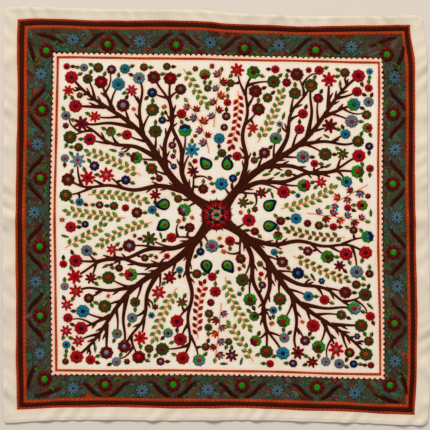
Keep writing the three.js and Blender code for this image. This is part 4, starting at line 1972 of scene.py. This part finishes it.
def grain_mesh(name):
    """One stitch, 1 long, 1 wide and 1 high: six points round its foot, two on its ridge."""
    e, s = GRAIN_ENDS, GRAIN_SHOULDER
    foot = [(-e, 0, 0), (-s, -0.5, 0), (s, -0.5, 0), (e, 0, 0), (s, 0.5, 0), (-s, 0.5, 0)]
    ridge = [(-s * RIDGE_SHARE, 0, 1), (s * RIDGE_SHARE, 0, 1)]
    faces = [(5, 4, 3, 2, 1, 0), (1, 2, 7, 6), (4, 5, 6, 7), (0, 1, 6), (5, 0, 6), (2, 3, 7), (3, 4, 7)]
    mesh = bpy.data.meshes.new(name)
    mesh.from_pydata(foot + ridge, [], faces)
    return mesh


def stitch_tree():
    tree = bpy.data.node_groups.new("lay_the_stitches", "GeometryNodeTree")
    face = tree.interface
    for label, kind in (("Plan", "Geometry"), ("Grain", "Object"), ("Padding", "Object"),
                        ("Overlap", "Float"), ("Height For Width", "Float"), ("Least Height", "Float"),
                        ("Seed", "Int"), ("Thread", "Material")):
        face.new_socket(label, in_out="INPUT", socket_type="NodeSocket" + kind)
    face.new_socket("Work", in_out="OUTPUT", socket_type="NodeSocketGeometry")
    given = add_node(tree, "NodeGroupInput").outputs

    heading = add_node(tree, "GeometryNodeInputNamedAttribute", {"Name": "heading"},
                       data_type="FLOAT_VECTOR")
    width = add_node(tree, "GeometryNodeInputNamedAttribute", {"Name": "row_width"},
                     data_type="FLOAT")
    reach = add_node(tree, "ShaderNodeVectorMath", {0: heading.outputs["Attribute"]},
                     operation="LENGTH")
    long = add_node(tree, "ShaderNodeMath", {
        0: reach.outputs["Value"], 1: given["Overlap"]}, operation="MULTIPLY")
    high = add_node(tree, "ShaderNodeMath", {
        0: width.outputs["Attribute"], 1: given["Height For Width"], 2: given["Least Height"]},
        operation="MULTIPLY_ADD")
    size = add_node(tree, "ShaderNodeCombineXYZ", {
        "X": long.outputs[0], "Y": width.outputs["Attribute"], "Z": high.outputs[0]})
    turn = add_node(tree, "FunctionNodeAxesToRotation", {
        "Primary Axis": heading.outputs["Attribute"], "Secondary Axis": (0, 0, 1)},
        primary_axis="X", secondary_axis="Z")

    grain = add_node(tree, "GeometryNodeObjectInfo", {"Object": given["Grain"]})
    laid = add_node(tree, "GeometryNodeInstanceOnPoints", {
        "Points": given["Plan"], "Instance": grain.outputs["Geometry"],
        "Rotation": turn.outputs["Rotation"], "Scale": size.outputs["Vector"]})
    tone = add_node(tree, "FunctionNodeRandomValue", {"Seed": given["Seed"]}, data_type="FLOAT")
    toned = add_node(tree, "GeometryNodeStoreNamedAttribute", {
        "Geometry": laid.outputs["Instances"], "Name": "tone", "Value": tone.outputs[1]},
        data_type="FLOAT", domain="INSTANCE")
    padding = add_node(tree, "GeometryNodeObjectInfo", {"Object": given["Padding"]})
    both = add_node(tree, "GeometryNodeJoinGeometry")
    tree.links.new(toned.outputs["Geometry"], both.inputs["Geometry"])
    tree.links.new(padding.outputs["Geometry"], both.inputs["Geometry"])
    real = add_node(tree, "GeometryNodeRealizeInstances", {"Geometry": both.outputs["Geometry"]})
    done = add_node(tree, "GeometryNodeSetMaterial", {
        "Geometry": real.outputs["Geometry"], "Material": given["Thread"]})
    out = add_node(tree, "NodeGroupOutput")
    tree.links.new(done.outputs["Geometry"], out.inputs["Work"])
    return tree


GRAIN = new_piece("grain", grain_mesh("grain"))
LAY_STITCHES = stitch_tree()
print("nodes in the tree:", len(LAY_STITCHES.nodes))

# %% [markdown]
# ## Padding
# A padded patch is a low cushion: a ring on the cloth, a raised middle, and a closed
# bottom that is sunk into the cotton. A padded band is a strip of squares with a rounded
# section. Both follow the face of the cloth.

# %% Make the padding
PAD_HEIGHT = 0.52
PAD_RIM = 0.26
PAD_SINK = 0.4
# The padding takes a darker tone of its thread: painted shade in the gaps between the stitches
PAD_SHADE_TONE = 0.2
PAD_EDGE = 0.05
BAND_CELL = 7.0


def signed_area(outline):
    x, y = outline.T
    return 0.5 * np.sum(x * np.roll(y, -1) - y * np.roll(x, -1))


def cushion_points(outline, level):
    if signed_area(outline) < 0:
        outline = outline[::-1]
    middle = outline.mean(axis=0)
    ring = np.vstack([outline, middle, middle])
    lift = np.full(len(ring), level * LEVEL_STEP + PAD_RIM)
    lift[-2] = level * LEVEL_STEP + PAD_HEIGHT
    lift[-1] = level * LEVEL_STEP - PAD_SINK
    return ring, lift


def cushion_faces(count, start):
    ring = np.arange(count)
    after = np.roll(ring, -1)
    top = np.stack([ring, after, np.full(count, count)], axis=1)
    foot = np.stack([after, ring, np.full(count, count + 1)], axis=1)
    return np.concatenate([top, foot]) + start


def band_points(left, right, level):
    """The points of a padded band: its upper grid, and then its lower one."""
    wide = np.hypot(*(left - right).T).max()
    cells = math.ceil(wide / BAND_CELL)
    share = np.linspace(0, 1, cells + 1)
    grid = left[:, None] + (right - left)[:, None] * share[None, :, None]
    rise = np.minimum(1, np.sin(math.pi * share) * (1 if cells < 4 else 3))
    high = level * LEVEL_STEP + PAD_RIM + (PAD_HEIGHT - PAD_RIM) * rise
    low = np.full(cells + 1, level * LEVEL_STEP - PAD_SINK)
    low[[0, -1]] = high[[0, -1]] - PAD_EDGE
    rows = len(left)
    places = np.concatenate([grid.reshape(-1, 2), grid.reshape(-1, 2)])
    return places, np.concatenate([np.tile(high, rows), np.tile(low, rows)]), cells + 1


def band_faces(rows, columns, start):
    count = rows * columns
    rim = rim_of_grid(rows, columns)
    after = np.roll(rim, -1)
    edge = np.stack([rim, after, after + count, rim + count], axis=1)
    upper = grid_faces(rows, columns, 0)
    lower = grid_faces(rows, columns, count, turned=True)
    return np.concatenate([upper, lower, edge[:, ::-1]]) + start


def padding_mesh(name, work, thread):
    places, lifts, faces, start = [], [], [], 0
    for outline, level in work.pads[thread]:
        ring, lift = cushion_points(outline, level)
        faces += cushion_faces(len(ring) - 2, start).tolist()
        places.append(ring)
        lifts.append(lift)
        start += len(ring)
    for left, right, level in work.strips[thread]:
        grid, lift, columns = band_points(left, right, level)
        faces += band_faces(len(left), columns, start).tolist()
        places.append(grid)
        lifts.append(lift)
        start += len(grid)
    if not places:
        return bpy.data.meshes.new(name)
    places, lifts = np.concatenate(places), np.concatenate(lifts)
    mesh = mesh_of(name, np.column_stack([places, upper_face(places) + lifts]), faces)
    # A low tone, painted shade where the padding shows between stitches
    store_number(mesh, "tone", np.full(len(places), PAD_SHADE_TONE))
    return mesh


def plan_mesh(name, sewn):
    """A point for each stitch, with its heading and its width."""
    starts = np.column_stack([sewn[:, :2], upper_face(sewn[:, :2])])
    ends = np.column_stack([sewn[:, 2:4], upper_face(sewn[:, 2:4])])
    middle = (starts + ends) / 2
    middle[:, 2] = np.maximum(middle[:, 2], upper_face(middle[:, :2]))
    middle[:, 2] += sewn[:, 5] * LEVEL_STEP - FOOT_SINK
    mesh = mesh_of(name, middle, [])
    heading = mesh.attributes.new("heading", "FLOAT_VECTOR", "POINT")
    heading.data.foreach_set("vector", ((ends - starts) * MM).ravel())
    store_number(mesh, "row_width", sewn[:, 4] * MM)
    return mesh


print("padding: cushions and bands")

# %% [markdown]
# ## Dye that has crept
# The cotton is a little peach beside all the needlework, because the reds and browns ran
# when the cloth was washed, and most so in the strip beside the inner line. The sheet
# keeps how much dye has reached each of its points. Its net is too coarse for the narrow
# strip, so a film of the same cotton lies on the sheet there and is tucked in at both sides.

# %% Stain the cotton beside the needlework
CREPT_NEAR = 0.54
CREPT_FULL_TO = 1.0
CREPT_REACH = 6.0
# At most this share of painted shade in the hollows of the margin's ripples
HOLLOW_SHADE_SHARE = 0.44
STAIN_FROM = 70
STAIN_TO = 93
STAIN_CLEAR = 5
STAIN_FADE = 9
STAIN_STRENGTH = 0.55
FILM_RISE = 0.08
FILM_TUCK = 0.3
FILM_LINES = 13
FILM_STEPS = 140
FILM_SHARP_FROM = 40

whole = Needlework()
for work in (border, ground, field):
    whole.add(work)
sewn = np.concatenate([lot for lots in whole.stitches.values() for lot in lots])
dyed = KDTree(len(sewn))
for number, (x, y) in enumerate((sewn[:, :2] + sewn[:, 2:4]) / 2):
    dyed.insert((x, y, 0), number)
dyed.balance()


def crept_at(places):
    """The share of dye: most beside the needlework, and none a finger's width away."""
    away = np.array([dyed.find((x, y, 0))[2] for x, y in places])
    x, y = places.T
    blotch = 0.8 + 0.2 * np.sin(x / 23 + np.sin(y / 31)) * np.sin(y / 19)
    return CREPT_NEAR * blotch * (1 - eased(away, CREPT_FULL_TO, CREPT_REACH))


def settled_at(places):
    """The share of painted shade in the hollows of the margin's ripples."""
    across, down = cut_place(places)
    share = np.zeros(len(places))
    for wave, inwards in margin_ripples(across, down):
        share = np.maximum(share, (1 - wave) * (1 - eased(inwards, RIPPLE_FULL_TO, CLEAN_FROM)))
    x, y = places.T
    return HOLLOW_SHADE_SHARE * share ** 2 * (0.5 + 0.5 * np.sin(x / 37 + 2) * np.sin(y / 41 + 1))


def stained_film(name):
    depths = np.linspace(STAIN_FROM, STAIN_TO, FILM_LINES)
    places = np.stack([band_line(depth, 0, FILM_STEPS) for depth in depths], axis=1)
    rows, columns = places.shape[:2]
    places = places.reshape(-1, 2)
    share = eased(depths, STAIN_FROM, STAIN_FROM + STAIN_CLEAR)
    tucked = 1 - share * (1 - eased(depths, STAIN_TO - STAIN_CLEAR, STAIN_TO))
    rise = np.tile(FILM_RISE - FILM_TUCK * tucked, rows)
    face = upper_face(places)
    upper = np.column_stack([places, face + rise])
    under = np.column_stack([places, face + rise - 2 * FILM_RISE])
    mesh = mesh_of(name, np.vstack([upper, under]), band_faces(rows, columns, 0).tolist())
    mesh.set_sharp_from_angle(angle=math.radians(FILM_SHARP_FROM))
    share = STAIN_STRENGTH * share * (1 - eased(depths, STAIN_TO - STAIN_FADE, STAIN_TO))
    crept = np.maximum(np.tile(share, rows), crept_at(places))
    store_number(mesh, "dye_crept", np.tile(crept, 2))
    return mesh


store_number(cotton_sheet.data, "dye_crept", np.tile(crept_at(grid_places), 2))
# The sheet also keeps painted shade for the hollows of its margin's ripples
store_number(cotton_sheet.data, "painted_hollow_shade", np.tile(settled_at(grid_places), 2))
stained_cotton = new_piece("stained_cotton", stained_film("stained_cotton"))
stained_cotton.data.materials.append(CALICO)
stained_cotton.data.shade_smooth()
print("stained film, squares:", len(stained_cotton.data.polygons))

# %% [markdown]
# ## Sewing
# Every thread is sewn in turn. The result is an ordinary mesh with no modifier left on
# it. It also gets a map seen from above, so that its colours can be painted into one
# picture.

# %% Sew every thread
OVERLAP = 1.16
HEIGHT_FOR_WIDTH = 0.30
LEAST_HEIGHT = 0.45


def map_from_above(piece):
    mesh = piece.data
    place = np.empty(len(mesh.vertices) * 3)
    mesh.vertices.foreach_get("co", place)
    place = place.reshape(-1, 3)[:, :2]
    corner = np.empty(len(mesh.loops), int)
    mesh.loops.foreach_get("vertex_index", corner)
    low, high = place.min(axis=0), place.max(axis=0)
    spread = (place[corner] - low) / (high - low)
    layer = mesh.uv_layers.new(name="OFBake")
    layer.data.foreach_set("uv", spread.ravel())


def set_inputs(modifier, values):
    for item in modifier.node_group.interface.items_tree:
        if item.name in values:
            modifier[item.identifier] = values[item.name]


def sewn_piece(thread, work, seed):
    sewn = np.concatenate(work.stitches[thread])
    piece = new_piece(thread + "_thread", plan_mesh(thread + "_plan", sewn))
    padding = new_piece(thread + "_padding", padding_mesh(thread + "_padding", work, thread))
    modifier = piece.modifiers.new("stitches", "NODES")
    modifier.node_group = LAY_STITCHES
    set_inputs(modifier, {
        "Grain": GRAIN, "Padding": padding, "Overlap": OVERLAP,
        "Height For Width": HEIGHT_FOR_WIDTH, "Least Height": LEAST_HEIGHT * MM,
        "Seed": seed, "Thread": COTTON[thread]})
    bpy.context.view_layer.update()
    graph = bpy.context.evaluated_depsgraph_get()
    mesh = bpy.data.meshes.new_from_object(piece.evaluated_get(graph))
    piece.modifiers.remove(modifier)
    piece.data = mesh
    mesh.name = thread + "_thread"
    mesh.shade_smooth()
    bpy.data.objects.remove(padding)
    map_from_above(piece)
    return piece


whole.add(hem)

pieces = []
for seed, thread in enumerate(THREADS):
    if whole.stitches[thread]:
        pieces.append(sewn_piece(thread, whole, seed))
        print(pieces[-1].name, len(whole.stitches[thread]), "lots,",
              sum(len(face.vertices) - 2 for face in pieces[-1].data.polygons), "triangles")
map_from_above(cotton_sheet)
map_from_above(stained_cotton)
bpy.data.objects.remove(GRAIN)
print("pieces:", len(pieces) + 1, " stitches:", whole.count())

# %% [markdown]
# ## The room
# The cloth lies on a smooth pale board. A large soft lamp, like a window, stands beyond the
# top edge and a little to the left, low enough to draw the hem and the puckers, and a pale
# sky fills the shadows.

# %% Lay it on the board and light it
BOARD_SIZE = 4000
BOARD_DROP = 0.05
BOARD_COLOUR = "#cdc6c0"
KEY_PLACE = (-1150, 7600, 6100)
KEY_SIZE = 3100
KEY_WATTS = 1035
KEY_COLOUR = "#fff4e4"
SKY_COLOUR = "#f3f1ee"
SKY_STRENGTH = 0.55

bpy.context.scene.view_settings.view_transform = "Standard"


def board_finish():
    finish, tree, shader = new_finish("painted_board")
    shader.inputs["Base Color"].default_value = dye(BOARD_COLOUR)
    shader.inputs["Roughness"].default_value = 0.8
    return finish


edge = BOARD_SIZE / 2
board_corners = np.array([(x, y, -BOARD_DROP) for x, y in
                          ((-edge, -edge), (edge, -edge), (edge, edge), (-edge, edge))])
board = new_piece("board", mesh_of("board", board_corners, [(0, 1, 2, 3)]))
board.data.materials.append(board_finish())

lamp = bpy.data.lights.new("window", "AREA")
lamp.energy = KEY_WATTS
lamp.size = KEY_SIZE * MM
lamp.color = dye(KEY_COLOUR)[:3]
window = bpy.data.objects.new("window", lamp)
bpy.context.scene.collection.objects.link(window)
window.location = [side * MM for side in KEY_PLACE]
toward = -window.location
window.rotation_euler = toward.to_track_quat("-Z", "Y").to_euler()

sky = bpy.data.worlds.new("sky")
sky.use_nodes = True
background = sky.node_tree.nodes["Background"]
background.inputs["Color"].default_value = dye(SKY_COLOUR)
background.inputs["Strength"].default_value = SKY_STRENGTH
bpy.context.scene.world = sky
print("lamp, W:", KEY_WATTS, " sky:", SKY_STRENGTH)

# %% [markdown]
# ## Hand over
# The sheet takes the place of the solid. The threads are sewn to it and lie on its face,
# so they share its place in the frame.

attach(cotton_sheet, "root")
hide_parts("cloth")
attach(stained_cotton, "root")
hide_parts("cloth")
for piece in pieces:
    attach(piece, "root")
    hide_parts("cloth")
